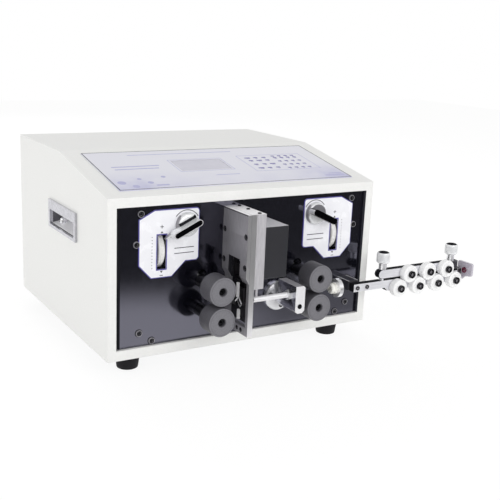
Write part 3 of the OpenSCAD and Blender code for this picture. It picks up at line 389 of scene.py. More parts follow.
# Their milled top ends are bright.
# The same bright steel also draws the painted highlights on the bracket and round the left grip.
milled_steel = finish("milled_steel_and_painted_highlight", "#EEEDF0", "#FAF9FB", 0.5, (0.36, 0.46), 0.002, (1, 0.1, 1),
                      Metallic=0.3)
# Extruded aluminium bar, brushed along its length: pale, with a soft streak.
bright_bar = finish("brushed_aluminium_bar", "#DCDCE2", "#F0F0F4", 0.5, (0.3, 0.42), drawn=(0.05, 1, 1),
                    Metallic=0.25)
# Blade steel, hardened and tempered dark, and its bright honed edge.
dark_blade = finish("tempered_blade_steel", "#2C2A2E", "#3B393D", 0.6, (0.3, 0.42), drawn=UP_FINE,
                    Metallic=0.8)
bare_blade = finish("polished_blade_edge", "#D4D3D7", "#EBEAED", 0.6, (0.2, 0.3), drawn=UP_FINE,
                    Metallic=0.35)
print("materials so far:", len(bpy.data.materials))

# %% [markdown]
# The overlay is a printed polyester film: pale lilac that deepens towards its lower edge and its lower
# corners, with a soft sheen. The tint follows the film's own length and width, so it is worked out from
# its place on the slope.

# %% Printed film
TINT_DEPTH, CORNER_SPAN, MIDDLE_TINT = 0.055, (0.05, 0.14), 0.25
CLOUD_MM, TOOTH_MM, TOOTH_RELIEF_MM = 30, 0.7, 0.01
CLOUD_SPAN, FILM_ROUGH = (0.35, 0.65, 0.35, 1.0), (0.26, 0.34)
film, tree = blank("printed_polyester_film")
place = add(tree, "TexCoord").outputs["Object"]
spot = add(tree, "SeparateXYZ", [place]).outputs
low, high = (np.array(corner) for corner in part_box("control_overlay"))
lower_edge = [float(low[Y]), float(low[Y] + TINT_DEPTH)]
lower = add(tree, "MapRange", [spot[Y], *lower_edge, 1.0, 0.0], interpolation_type="SMOOTHSTEP")
across = add(tree, "Math", [spot[X], float(low[X] + high[X]) / 2], operation="SUBTRACT")
sideways = add(tree, "Math", [across], operation="ABSOLUTE")
outer = add(tree, "MapRange", [sideways, *CORNER_SPAN, MIDDLE_TINT, 1.0],
            interpolation_type="SMOOTHSTEP")
corner = add(tree, "Math", [lower, outer], operation="MULTIPLY")
cloud = add(tree, "TexNoise", {"Vector": place, "Scale": 1000 / CLOUD_MM, "Detail": 2.0})
ink = add(tree, "Math", [corner, add(tree, "MapRange", [cloud, *CLOUD_SPAN])], operation="MULTIPLY")
tone = add(tree, "Mix", {0: ink, 6: paint("#DEDEE7"), 7: paint("#B4B4D6")}, data_type="RGBA")
tooth = add(tree, "TexNoise", {"Vector": place, "Scale": 1000 / TOOTH_MM})
relief = add(tree, "Bump", {"Height": tooth, "Distance": TOOTH_RELIEF_MM / 1000, "Strength": 1.0})
dull = add(tree, "MapRange", [tooth, 0, 1, *FILM_ROUGH])
surface = add(tree, "BsdfPrincipled", {"Base Color": tone.outputs[2], "Roughness": dull, "Normal": relief})
add(tree, "OutputMaterial", {"Surface": surface})
print("film from y", low[Y].round(4), "to", high[Y].round(4))

# %% [markdown]
# ## New pieces
# A new piece is a grid of points worked out at once, and it rides on a body of the machine. Where it
# stands for a solid, it takes the solid's body and the solid is hidden. Some faces of a piece may get a
# second finish, chosen by where they look and where they are.

# %% Piece helpers
SHARP = math.radians(35)
MERGE, SOLID_MERGE = 1e-7, 2e-6
made = {}
slot_of = {part["node"]: part["material_slot"] for part in frame["record"]["subparts"]}
body_of = {node: body for body, nodes in frame["record"]["behaviour"]["bodies"].items() for node in nodes}


def enter(name, mesh, material, body, node):
    """Shades a mesh smooth, with edges past the sharp angle left crisp, and enters it as a piece."""
    mesh.polygons.foreach_set("use_smooth", np.ones(len(mesh.polygons), bool))
    mesh.set_sharp_from_angle(angle=SHARP)
    mesh.materials.append(material)
    piece = show(name, mesh)
    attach(piece, body_of[node] if node else body)
    if node:
        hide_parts(node)
    made[name] = len(mesh.polygons)
    return piece


def new_piece(name, points, faces, material, body="machine", node=None):
    """Points in case millimetres and faces become one piece. Doubled points at poles and seams are merged, and
    normals are turned outwards."""
    mesh = bpy.data.meshes.new(name)
    mesh.from_pydata(in_frame(points).tolist(), [], faces)
    work = bmesh.new()
    work.from_mesh(mesh)
    bmesh.ops.remove_doubles(work, verts=work.verts, dist=MERGE)
    bmesh.ops.recalc_face_normals(work, faces=work.faces)
    work.to_mesh(mesh)
    work.free()
    return enter(name, mesh, material, body, node)


def second_finish(piece, material, test):
    """Gives another finish to the faces that pass the test. It gets where the faces look, their normals, and
    where they are, their middles in case millimetres, each as three arrays for x, y and z."""
    piece.data.materials.append(material)
    polygons, count = piece.data.polygons, len(piece.data.polygons)
    normals, middles, chosen = np.empty(count * 3), np.empty(count * 3), np.empty(count, np.int32)
    polygons.foreach_get("normal", normals)
    polygons.foreach_get("center", middles)
    polygons.foreach_get("material_index", chosen)
    passed = test(normals.reshape(-1, 3).T, ((middles.reshape(-1, 3) - CASE_ORIGIN) * 1000).T)
    chosen[passed] = len(piece.data.materials) - 1
    polygons.foreach_set("material_index", chosen)
    piece.data.update()


print("slots:", sorted(set(slot_of.values())))

# %% [markdown]
# Rollers, knobs, feet and screws come from a lathe, and so do these shapes: a profile is turned round
# an axis. A knurl is a wave in the radius.

# %% Turned shapes
AXES = {"x": (1, 2, 0), "y": (2, 0, 1), "z": (0, 1, 2)}


def grid_faces(rows, columns, first=0, close_rows=False):
    """Quads of a grid whose columns close on themselves, and whose rows do too if asked."""
    row = np.arange(rows if close_rows else rows - 1)[:, None]
    column = np.arange(columns)[None, :]
    here, below = row * columns, ((row + 1) % rows) * columns
    after = (column + 1) % columns
    quads = np.stack([here + column, below + column, below + after, here + after], -1)
    return (quads.reshape(-1, 4) + first).tolist()


def turned(profile, centre, axis, sides, ridges):
    """P(s, a) = centre + along(s) on the axis + radius(s) (cos a, sin a) across it. Ridges, if given, is a
    count and a depth in millimetres at each profile point: the radius falls by depth (1 + cos(count a)) / 2."""
    profile = np.asarray(profile, float)
    angle = np.linspace(0, 2 * math.pi, sides, endpoint=False)
    radius = np.repeat(profile[:, :1], sides, 1)
    if ridges:
        count, depth = ridges
        radius = radius - np.asarray(depth, float)[:, None] * (1 + np.cos(count * angle)) / 2
    points = np.empty((len(profile), sides, 3))
    first, second, along = AXES[axis]
    points[..., first] = radius * np.cos(angle)
    points[..., second] = radius * np.sin(angle)
    points[..., along] = profile[:, 1:]
    return (points + np.asarray(centre, float)).reshape(-1, 3)


def turned_piece(name, profile, centres, axis, material, sides, body="machine", node=None,
                 ring=False, ridges=None):
    """One turned shape at each centre, all as one piece. A ring's profile is a loop clear of the axis."""
    points = [turned(profile, centre, axis, sides, ridges) for centre in centres]
    faces = []
    for i in range(len(centres)):
        faces += grid_faces(len(profile), sides, i * len(profile) * sides, ring)
    return new_piece(name, np.concatenate(points), faces, material, body, node)


def quarter(radius, face, bend, steps, out):
    """Quarter round of a rim at a face that looks out along the axis: (radius - bend + bend cos a,
    face - out bend (1 - sin a)), a from 0 to 90 degrees."""
    a = np.linspace(0, math.pi / 2, steps)
    return np.column_stack([radius - bend + bend * np.cos(a), face - out * bend * (1 - np.sin(a))])


print("axes:", list(AXES))

# %% [markdown]
# ## Finishes of the solids
# A solid whose shape is right keeps its own mesh and gets a finish. The record names a slot for each
# one, and a slot here is simply a finish.

# %% A finish for every slot
slot_finish = {
    "case_paint": powder_coat, "panel_black": black_panel, "zinc_steel": zinc_plate, "foot_rubber": foot_rubber,
    "black_steel": black_oxide, "handle_chrome": handle_chrome, "overlay_film": film, "display": display_glass,
    "white_plate": acrylic, "rail_steel": turned_steel, "motor_black": motor_black, "head_steel": ground_steel,
    "cover_black": satin_black, "polished_steel": chrome, "ivory_plastic": acetal, "dark_steel": satin_black,
    "bar_steel": bright_bar, "end_grey": grey_paint, "ruby": ruby, "inlet_black": inlet_black,
    "knob_chrome": knurl_chrome, "dial_cream": cream, "blade_steel": dark_blade, "roller_grey": roller_skin,
    "nylon_white": nylon, "rocker_red": rocker_red}
for name, solid in frame["nodes"].items():
    solid.data.materials.clear()
    solid.data.materials.append(dark_blade if name.endswith("blade_holder") else slot_finish[slot_of[name]])
print("finished solids:", len(frame["nodes"]))

# %% [markdown]
# ## Broken edges
# Folded sheet has a bend radius, and machined steel has its burrs taken off. Each of these solids is
# shown by a copy with a small bevel, which is what catches the light on a real edge.

# %% Edged copies
JOIN_FLAT, ROUND_STEPS, EDGE_STEPS, NEAR = math.radians(0.5), 6, 2, 0.1


def round_corners(work, axis, corners, radius_mm):
    """Rounds the edges that run along an axis through the given corners: the two other coordinates, in case
    millimetres."""
    ends = np.array([[vertex.co for vertex in edge.verts] for edge in work.edges])
    flat = np.delete((ends - CASE_ORIGIN) * 1000, "xyz".index(axis), 2)
    hit = np.any([np.abs(flat - corner).max((1, 2)) < NEAR for corner in corners], 0)
    chosen = [edge for edge, near in zip(work.edges, hit) if near]
    bmesh.ops.bevel(work, geom=chosen, offset=radius_mm / 1000, segments=ROUND_STEPS, profile=0.5,
                    affect="EDGES")


def softened(node, width_mm, material=None, edge=None, corners=(), radius_mm=0, along="y"):
    """A copy of a solid with its loose triangles merged, flat faces joined and its edges bevelled. The bevel
    may have a finish of its own, and corners seen along an axis may be rounded first."""
    mesh = frame["nodes"][node].data.copy()
    mesh.materials.clear()
    work = bmesh.new()
    work.from_mesh(mesh)
    bmesh.ops.remove_doubles(work, verts=work.verts, dist=SOLID_MERGE)
    bmesh.ops.dissolve_limit(work, angle_limit=JOIN_FLAT, verts=work.verts, edges=work.edges)
    if corners:
        round_corners(work, along, corners, radius_mm)
    work.to_mesh(mesh)
    work.free()
    piece = enter(node + "_edged", mesh, material or slot_finish[slot_of[node]], None, node)
    bevel = piece.modifiers.new("broken_edges", "BEVEL")
    bevel.width, bevel.segments = width_mm / 1000, EDGE_STEPS
    bevel.limit_method, bevel.angle_limit = "ANGLE", SHARP
    bevel.harden_normals = True
    if edge:
        mesh.materials.append(edge)
        bevel.material = 1
    return piece


# Each solid with the width of its edge in mm, its finish if it isn't its slot's, and the finish of the
# edge.
EDGES = {
    "case_shell": (0.8,), "rear_panel": (0.3,), "lower_bar": (0.4,), "side_handles": (0.5,),
    "power_inlet": (0.5,), "inlet_guide": (0.5, hazed_chrome), "head_block": (0.5, ground_steel),
    "head_plate": (0.4, rolled_steel), "head_cover": (0.4, rolled_steel), "drive_cover": (1.0, satin_black),
    "straightener_bracket": (0.4, satin_black), "socket_screws": (0.25, black_oxide, rolled_steel),
    "upper_axles": (0.25, black_oxide, rolled_steel), "swing_guide": (0.7, chrome, milled_steel),
    "guide_tube": (0.4, milled_steel), "upper_bar": (0.4, bright_bar), "power_rocker": (0.6, rocker_red)}
EYELET_CORNERS = [(-42.75, 65.5), (-42.75, 49.8), (-19.0, 65.5)]
edged = {node: softened(node, *how) for node, how in EDGES.items()}
edged["eyelet_plate"] = softened("eyelet_plate", 0.6, grey_paint, milled_steel, EYELET_CORNERS, 2.5, "x")
print("edged copies:", len(made))

# %% [markdown]
# One solid often shows several surfaces: a plate has a rolled face, milled ends and ground edges, and a
# bar is bright in front and black above. The faces are picked out by where they look and where they
# lie.

# %% Second finishes
FACING, HEAD_ENDS, WALLS_FRONT, WALLS_BACK = 0.7, 140.0, -43.0, 3.0
for node in ("head_block", "head_plate", "head_cover"):
    second_finish(edged[node], milled_steel, lambda look, at: (look[Z] > FACING) & (at[Z] > HEAD_ENDS))
for node in ("head_plate", "head_cover"):
    second_finish(edged[node], edge_steel, lambda look, at: look[Y] < -FACING)
    second_finish(edged[node], satin_black, lambda look, at: (np.abs(look[Y]) > FACING)
                  & (at[Y] > WALLS_FRONT) & (at[Y] < WALLS_BACK))
guide, tube, cups = edged["swing_guide"], edged["guide_tube"], edged["side_handles"]
second_finish(guide, milled_steel, lambda look, at: look[Y] < -FACING)
# The guide block's left face takes the greyer chrome: a painted dark reflection.
second_finish(guide, handle_chrome, lambda look, at: look[X] < -FACING)
second_finish(guide, ground_steel, lambda look, at: look[Z] > FACING)
NUT_MIDDLE, NUT_HALF, NUT_UPPER = 30.75, 2.75, 0.4
second_finish(tube, hazed_chrome, lambda look, at: np.abs(at[X] - NUT_MIDDLE) < NUT_HALF)
second_finish(tube, turned_steel, lambda look, at: (np.abs(at[X] - NUT_MIDDLE) < NUT_HALF)
              & (look[Z] > NUT_UPPER))
# The floors of the hex sockets take the lighter grey steel: a painted highlight. The lighter edges given to
# these heads above are partly wear and partly painted highlight.
SOCKET_FLOORS, FLOOR_NEAR, STRAIGHT_ON = np.array([[-36.6], [-26.54]]), 0.15, 0.9
for node in ("socket_screws", "upper_axles"):
    second_finish(edged[node], rolled_steel, lambda look, at: (look[Y] < -STRAIGHT_ON)
                  & (np.abs(at[Y] - SOCKET_FLOORS).min(0) < FLOOR_NEAR))
CUP_INSIDE, CUP_ENDS = 159.5, 0.5
# Inside the cups, the pale tone is painted light and the dark end walls are painted shade.
second_finish(cups, cup_painted_light, lambda look, at: np.abs(at[X]) < CUP_INSIDE)
second_finish(cups, cup_painted_shade, lambda look, at: (np.abs(look[Y]) > CUP_ENDS) & (np.abs(at[X]) < CUP_INSIDE))
# The drive cover's upper faces take the lighter grey: a painted highlight.
second_finish(edged["drive_cover"], painted_highlight_black, lambda look, at: look[Z] > FACING)
second_finish(edged["lower_bar"], dull_black, lambda look, at: (look[Z] > FACING) | (look[X] < -FACING))
second_finish(edged["upper_bar"], dull_black, lambda look, at: look[Y] > -FACING)
EYELET_FACE = 286.2
second_finish(edged["eyelet_plate"], satin_black, lambda look, at: at[X] < EYELET_FACE)
print("solids with more than one finish:", sum(len(piece.data.materials) > 1 for piece in edged.values()))

# %% [markdown]
# The black panel sits behind the frame of the case. On three sides of the opening the inner walls of the
# frame are painted dark: painted shade where the light does not reach.

# %% Painted shade round the panel
OPEN_X, OPEN_TOP, RAIL_TOP, PANEL_Y, FRAME_FRONT = 150.4, 155.3, 10.9, 4.5, 0.3
# The inner walls of the frame round the panel take the dark tone: painted shade.
second_finish(edged["case_shell"], frame_gap_painted_shade, lambda look, at: (at[Y] > FRAME_FRONT) & (at[Y] < PANEL_Y)
              & (np.abs(at[X]) < OPEN_X + NEAR) & (at[Z] < OPEN_TOP + NEAR) & (at[Z] > RAIL_TOP + NEAR))
print("faces of the strip:", sum(polygon.material_index == 1 for polygon in edged["case_shell"].data.polygons))

# %% [markdown]
# ## Lever knobs
# Each knob is a chromed disc with a straight grip. The grip's faces are painted near black as a painted dark
# reflection, and the bright chrome shows along their edges. The upper face of the left grip keeps the
# bright chrome as a painted highlight, and the left side of each disc is painted darker as painted shade.

# %% Lever knobs
GRIP_BACK, GRIP_FRONT, GRIP_ENDS, ALONG = -1.0, -10.0, 0.75, 0.1
DISC_FRONT, DISC_BACK, DISC_SIDE = -2.2, 3.4, 0.6
HIGHLIGHT_UP_FROM = {"left": 0.3, "right": 2}
for side, highlight_up in HIGHLIGHT_UP_FROM.items():
    knob = softened(f"{side}_lift_knob", 0.5, knurl_chrome)
    # The grip's faces take the dark chrome as a painted dark reflection; on the left grip the upward faces keep
    # the bright chrome as a painted highlight.
    second_finish(knob, chrome_painted_dark, lambda look, at: (at[Y] < GRIP_BACK) & (np.abs(look[X]) < GRIP_ENDS)
                  & (look[Z] < highlight_up) & ((at[Y] < GRIP_FRONT) | (np.abs(look[Y]) < ALONG)))
    # The left side of each disc takes the greyer steel: painted shade.
    second_finish(knob, rolled_steel, lambda look, at: (at[Y] > DISC_FRONT) & (at[Y] < DISC_BACK)
                  & (look[X] < -DISC_SIDE))
print("knob faces:", made["left_lift_knob_edged"])

# %% [markdown]
# ## Feed rollers
# Each roller is a grey sleeve, ground on the outside and faced on the front, where the tool leaves
# faint rings round the hole of its clamping screw. A profile turned round the shaft gives all of that.

# %% Feed rollers
SIDES = (("left", -1), ("right", 1))
MIRROR_X, ROLLER_U, HEIGHTS = 4.5, 59.5, {"lower": 40.5, "upper": 72.5}
ROLLER_BACK, ROLLER_FRONT, ROLLER_R, ROLLER_ROUND = -20.0, -41.5, 15.0, 0.9
HUB_R, HUB_DEPTH, SHAFT_R, FACED = 4.0, 6.0, 5.05, 0.8
faced = np.array([[13.3, 0], [13.15, 0.12], [12.85, 0.12], [12.7, 0], [HUB_R + 0.7, 0], [HUB_R, 0.7],
                  [HUB_R, HUB_DEPTH], [SHAFT_R, HUB_DEPTH]]) + [0, ROLLER_FRONT]
roller_profile = np.vstack([
    [SHAFT_R, ROLLER_BACK], [ROLLER_R - 0.6, ROLLER_BACK], [ROLLER_R, ROLLER_BACK - 0.6],
    quarter(ROLLER_R, ROLLER_FRONT, ROLLER_ROUND, 5, -1), faced])
for side, sign in SIDES:
    for row, height in HEIGHTS.items():
        node = f"{side}_{row}_roller"
        middle = (MIRROR_X + sign * ROLLER_U, 0, height)
        roller = turned_piece(node + "_turned", roller_profile, [middle], "y", roller_skin, 96, node=node,
                              ring=True)
        second_finish(roller, pale_grey_face, lambda look, at: look[Y] < -FACED)
print("roller profile:", len(roller_profile), "points")

# %% [markdown]
# ## Straightening rollers
# Seven white nylon rollers bend the wire to and fro. Each has rounded rims and a shallow dish in its
# face.

# %% Nylon rollers
WHEEL_X, WHEEL_PITCH, WHEEL_R, WHEEL_ROUND, AXLE_BORE = 182.8, 28.8, 10.2, 1.3, 3.05
WHEEL_BACK, WHEEL_FRONT, LOWER_WHEEL_Z, UPPER_WHEEL_Z = -26.5, -35.0, 45.8, 61.2
dish = np.array([[8.3, 0], [7.9, 0.35], [5.4, 0.35], [5.0, 0], [AXLE_BORE, 0]]) + [0, WHEEL_FRONT]
wheel_profile = np.vstack([[AXLE_BORE, WHEEL_BACK], quarter(WHEEL_R, WHEEL_BACK, WHEEL_ROUND, 6, 1)[::-1],
                           quarter(WHEEL_R, WHEEL_FRONT, WHEEL_ROUND, 6, -1), dish])
for row, height, count, shift in (("lower", LOWER_WHEEL_Z, 4, 0), ("upper", UPPER_WHEEL_Z, 3, 0.5)):
    for i in range(count):
        node = f"{row}_wheel_{i + 1}"
        middle = (WHEEL_X + (i + shift) * WHEEL_PITCH, 0, height)
        turned_piece(node + "_turned", wheel_profile, [middle], "y", nylon, 64, node=node, ring=True)
print("wheel profile:", len(wheel_profile), "points")

# %% [markdown]
# ## Thumbscrews
# Two chromed thumbscrews press the upper bar down. Fingers need a grip, so the cap is knurled: the
# radius of the turned profile falls in a wave round the cap, and a black button closes its top.

# %% Thumbscrews
CAP_R, CAP_LOW, CAP_HIGH, NECK_R, NECK_LOW, THREAD_LOW = 7.5, 75.3, 88.3, 4.6, 67.7, 50.0
THREAD_STEP, THREAD_R, THREAD_DEPTH, KNURLS, KNURL_DEPTH = 0.5, 2.75, 0.25, 36, 0.45
THUMB_Y, THUMB_X = -22.0, {"left": 164.5, "right": 269.7}
thread_z = np.arange(THREAD_LOW + 0.5, NECK_LOW - 0.5, THREAD_STEP)
thread = np.column_stack([THREAD_R + THREAD_DEPTH * (np.arange(len(thread_z)) % 2), thread_z])
cap_foot = np.array([[NECK_R, -1.0], [NECK_R + 0.5, 0], [6.2, 0], [CAP_R, 1.3], [CAP_R, 1.7]]) + [0, CAP_LOW]
cap_head = np.array([[CAP_R, -2.6], [CAP_R, -2.2], [CAP_R - 0.5, -1.2], [CAP_R - 1.2, -0.9],
                     [CAP_R - 1.5, -1.3], [0, -1.3]]) + [0, CAP_HIGH]
screw_profile = np.vstack([[0, THREAD_LOW], [2.4, THREAD_LOW], thread, [NECK_R, NECK_LOW], cap_foot, cap_head])
radius, height = screw_profile.T
knurled = (radius >= CAP_R) & (height > CAP_LOW + 1.5) & (height < CAP_HIGH - 2.4)
button = np.array([[0, -1.3], [5.9, -1.3], [5.9, -0.7], [5.2, -0.25], [3.0, -0.05], [0, 0]]) + [0, CAP_HIGH]
for side, x in THUMB_X.items():
    node, spot = f"{side}_thumbscrew", [(x, THUMB_Y, 0)]
    screw = turned_piece(node + "_turned", screw_profile, spot, "z", knurl_chrome, 144, node=node,
                         ridges=(KNURLS, knurled * KNURL_DEPTH))
    second_finish(screw, hazed_chrome, lambda look, at: at[Z] < CAP_LOW)
    second_finish(screw, turned_steel, lambda look, at: at[Z] < NECK_LOW)
    turned_piece(node + "_button", button, spot, "z", dull_black, 48, f"{side}_screw")
print("thumbscrew profile:", len(screw_profile), "points")

# %% [markdown]
# ## Gap dials
# A cream wheel stands a little out of the slot of each adjuster plate, a touch to the right of the
# slot's middle. Its rim is ribbed for the fingertip.

# %% Gap dials
DIAL_R, DIAL_Y, DIAL_Z, DIAL_U, DIAL_HALF, PIN_R, PIN_END = 20.0, 23.0, 107.3, 106.0, 3.4, 3.0, 8.5
RIBS, RIB_DEPTH, WHEEL_SHIFT = 72, 0.4, {"left": 0.6, "right": 0.9}
half_dial = np.array([[0, PIN_END], [PIN_R, PIN_END], [PIN_R, DIAL_HALF], [18.4, DIAL_HALF],
                      [19.4, DIAL_HALF - 0.3], [DIAL_R, DIAL_HALF - 1.0], [DIAL_R, DIAL_HALF - 1.4]])
dial_profile = np.vstack([half_dial, half_dial[::-1] * [1, -1]])
from_middle = np.abs(dial_profile[:, 1])
ribs = (RIBS, (from_middle < DIAL_HALF - 1.2) * RIB_DEPTH)
for side, sign in SIDES:
    shifted = dial_profile + np.outer(from_middle <= DIAL_HALF, [0, WHEEL_SHIFT[side]])
    middle = (MIRROR_X + sign * DIAL_U, DIAL_Y, DIAL_Z)
    turned_piece(f"{side}_gap_dial_ribbed", shifted, [middle], "x", cream, 288, node=f"{side}_gap_dial",
                 ridges=ribs)
print("dial profile:", len(dial_profile), "points")

# %% [markdown]
# ## Feet
# Four rubber feet taper to the bench and hide their screws in a recess. Foot and screw are turned
# shapes, repeated at the four corners.

# %% Feet and their screws
FOOT_X, FOOT_Y, FOOT_H, RECESS = 127.0, (28.0, 254.0), 19.0, 14
foot = [[0, 0], [14, 0], [13.9, -1.4], [13.3, -1.8], [11.3, -17.4], [10.9, -18.5], [10.0, -FOOT_H],
        [5.6, -FOOT_H], [5.2, -18.4], [5.0, -RECESS], [0, -RECESS]]
foot_screw = [[0, -RECESS], [4.2, -RECESS], [4.0, -15.2], [2.8, -16.2], [1.6, -16.4], [1.4, -15.4],
              [0, -15.4]]
feet = [(x, y, 0) for x in (-FOOT_X, FOOT_X) for y in FOOT_Y]
turned_piece("rubber_feet_turned", foot, feet, "z", foot_rubber, 64, node="rubber_feet")
turned_piece("foot_screws", foot_screw, feet, "z", zinc_plate, 32)
print("feet:", len(feet))

# %% [markdown]
# ## Marks on flat faces
# Screen print is a film of ink. A plane is an origin, two directions on the face and one out of it, and
# small marks are outlines on it, raised by the film's thickness.

# %% Mark helpers
INK = 0.05


def front_plane(y):
    """The plane at a depth y that looks to the front."""
    return (0, y, 0), (1, 0, 0), (0, 0, 1), (0, -1, 0)


def left_plane(x, y=0, z=0):
    """The plane through a point that looks to the left."""
    return (x, y, z), (0, -1, 0), (0, 0, 1), (-1, 0, 0)


def on_plane(plane, spots):
    """P(a, b, h) = origin + a across + b along + h out of the face, for rows of (a, b, h)."""
    origin, across, along, outward = (np.array(vector, float) for vector in plane)
    return origin + np.asarray(spots, float) @ np.stack([across, along, outward])


def marks(name, plane, outlines, material, body="machine", low=0.0, high=INK):
    """Each outline, rows of (a, b), becomes a thin prism from height low to high; all of them are one piece."""
    points, faces = [], []
    for outline in outlines:
        outline, first, n = np.asarray(outline, float), sum(map(len, points)), len(outline)
        points.append(np.vstack([np.column_stack([outline, np.full(n, h)]) for h in (low, high)]))
        here = np.arange(n)
        after = (here + 1) % n
        faces += (np.column_stack([here, after, after + n, here + n]) + first).tolist()
        faces += [(here[::-1] + first).tolist(), (here + n + first).tolist()]
    return new_piece(name, on_plane(plane, np.vstack(points)), faces, material, body)


print("ink stands", INK, "mm high")

# %% [markdown]
# A printed line or a thin rib has the same section all along. At a corner the section is turned by half
# the angle and stretched, so the line keeps its width.

# %% Line helpers
def mitres(path, closed):
    """Sideways steps of a polyline: at a corner the mean of both sides' normals, stretched to keep the
    width."""
    ahead = np.roll(path, -1, 0) - path
    if not closed:
        ahead[-1] = ahead[-2]
    ahead /= np.linalg.norm(ahead, axis=1, keepdims=True)
    behind = np.roll(ahead, 1, 0)
    if not closed:
        behind[0] = ahead[0]
    side_a, side_b = (np.column_stack([d[:, 1], -d[:, 0]]) for d in (ahead, behind))
    return (side_a + side_b) / (1 + np.sum(side_a * side_b, 1, keepdims=True))


def lines(name, plane, paths, section, material, body="machine", closed=True):
    """A section of (sideways, height) rows carried along each path, P(i, j) = path(i) + sideways(j) mitre(i) at
    height(j), all as one piece; the ends of an open line are capped."""
    points, faces, section = [], [], np.asarray(section, float)
    n = len(section)
    for path in paths:
        path, first = np.asarray(path, float), sum(map(len, points))
        flat = path[:, None] + section[None, :, :1] * mitres(path, closed)[:, None]
        raised = np.broadcast_to(section[None, :, 1:], (len(path), n, 1))
        points.append(np.concatenate([flat, raised], 2).reshape(-1, 3))
        faces += grid_faces(len(path), n, first, closed)
        if not closed:
            last = first + (len(path) - 1) * n
            faces += [list(range(first, first + n)), list(range(last + n - 1, last - 1, -1))]
    return new_piece(name, on_plane(plane, np.vstack(points)), faces, material, body)


def flat_line(width, low=0.0, high=INK):
    """A flat line's section, as wide as given and centred on its path."""
    return [[-width / 2, low], [width / 2, low], [width / 2, high], [-width / 2, high]]


def box_outline(a0, b0, a1, b1):
    """Corners of an upright rectangle, in order."""
    return [[a0, b0], [a1, b0], [a1, b1], [a0, b1]]


def circle(count):
    """Points of the unit circle: (cos a, sin a) at even steps."""
    angle = 2 * math.pi * np.arange(count) / count
    return np.column_stack([np.cos(angle), np.sin(angle)])


print("a line 1 mm wide:", flat_line(1))

# %% [markdown]
# ## Details of the black panel
# A collar stands round each screw head of the panel, in a ring of painted shade. At the left, the frame's
# shadow is painted on the panel as a dark band.

# %% Panel screws and painted shade
SHADE_RING_R, SHADE_RING_W, FRAME_SHADOW_W = 3.75, 0.7, 5.0
panel_screws = [(MIRROR_X + sign * u, PANEL_Y, z) for _, sign in SIDES
                for u, z in ((128.5, 147.5), (133.1, 117.0), (129.5, 24.9), (115.5, 15.1))]
collar = [[2.8, 0], [3.4, 0], [3.4, -1.3], [3.3, -1.6], [2.95, -1.65], [2.8, -1.55]]
turned_piece("panel_cup_washers", collar, panel_screws, "y", rolled_steel, 40, ring=True)
# Each collar sits in a dark ring on the panel: painted shade.
shade_rings = [circle(24) * SHADE_RING_R + [x, z] for x, _, z in panel_screws]
lines("panel_screw_shades", front_plane(PANEL_Y), shade_rings, flat_line(SHADE_RING_W), dull_black)
# A dark band on the panel along the left of the opening: the painted shadow of the frame.
frame_shadow_x = FRAME_SHADOW_W / 2 - OPEN_X + 0.05
frame_shadow_path = [[frame_shadow_x, RAIL_TOP + NEAR], [frame_shadow_x, OPEN_TOP - NEAR]]
lines("panel_left_painted_shadow", front_plane(PANEL_Y), [frame_shadow_path], flat_line(FRAME_SHADOW_W), dull_black, closed=False)
print("collars:", len(panel_screws))

# %% [markdown]
# ## Adjuster plates
# The white plates have an indigo edge, a slot frame, a row of scale dots, plus and minus signs at the
# ends of the slot, an arc round the lever knob and a plain pair of rules. The right plate mirrors the
# left one, so the marks are drawn once, outwards from the middle of the machine.

# %% Shape of the plates
PLATE_Y, PLATE_TOP, PLATE_U0, PLATE_W, PLATE_H, INNER_R = 3.5, 149.5, 65.0, 65.0, 68.0, 3.0
plate_u1, plate_low = PLATE_U0 + PLATE_W, PLATE_TOP - PLATE_H
inner_low = plate_low + 14.8
bend = np.radians(np.linspace(0, 90, 7))[:, None]
upper_bend = [PLATE_U0 + INNER_R, PLATE_TOP - INNER_R] + INNER_R * np.hstack([-np.cos(bend), np.sin(bend)])
lower_bend = [PLATE_U0 + INNER_R, inner_low + INNER_R] + INNER_R * np.hstack([-np.sin(bend), -np.cos(bend)])
plate_outline = np.vstack([upper_bend, [plate_u1 - 16.2, PLATE_TOP], [plate_u1, PLATE_TOP - 8.3],
                           [plate_u1, plate_low + 13.8], [plate_u1 - 13, plate_low],
                           [plate_u1 - 35.3, plate_low], [PLATE_U0 + 14.5, inner_low], lower_bend])
inner_corners = [(MIRROR_X + sign * PLATE_U0, z) for _, sign in SIDES for z in (PLATE_TOP, inner_low)]
softened("adjuster_plates", 0.15, acrylic, corners=inner_corners, radius_mm=INNER_R)
print("plate corners:", len(plate_outline))

# %% [markdown]
# On the real plate the marks are screen printed. Dots, arrows, signs and rules are small outlines, and
# the edge, the frame and the arc are lines, so both helpers are used, once for each side.

# %% Prints of the plates
KNOB_U, KNOB_Z, SLOT_W, SLOT_H, FRAME_OFF, ARC_R = 78.7, 133.8, 10.0, 35.5, 0.4, 14.6
EDGE_BAND = [[0.0, -1.0], [-0.9, -1.0], [-0.9, -0.45], [0.0, -0.05]]
PLUS_MINUS = ((-1.8, 25.6, 1.8, 26.3), (-0.35, 24.2, 0.35, 25.6), (-0.35, 26.3, 0.35, 27.7),
              (-1.8, -24.4, 1.8, -23.7))
FRAME_W, ARC_W, ARC_FROM, ARC_TO = 1.1, 0.8, 35, 150
DOTS, DOT_R, DOT_OFF, SCALE_HALF, ARROW_W, ARROW_H = 11, 0.45, 10.5, 16, 1.5, 2.2
RULE_FROM, RULE_TO, RULE_H, RULES_DOWN = 5, 27, 0.8, (40, 45.5)


def on_side(shape, sign):
    """An outline drawn outwards from the machine's middle, on the left (-1) or right (1), in the same turn."""
    return (np.asarray(shape, float) * [sign, 1] + [MIRROR_X, 0])[::sign]


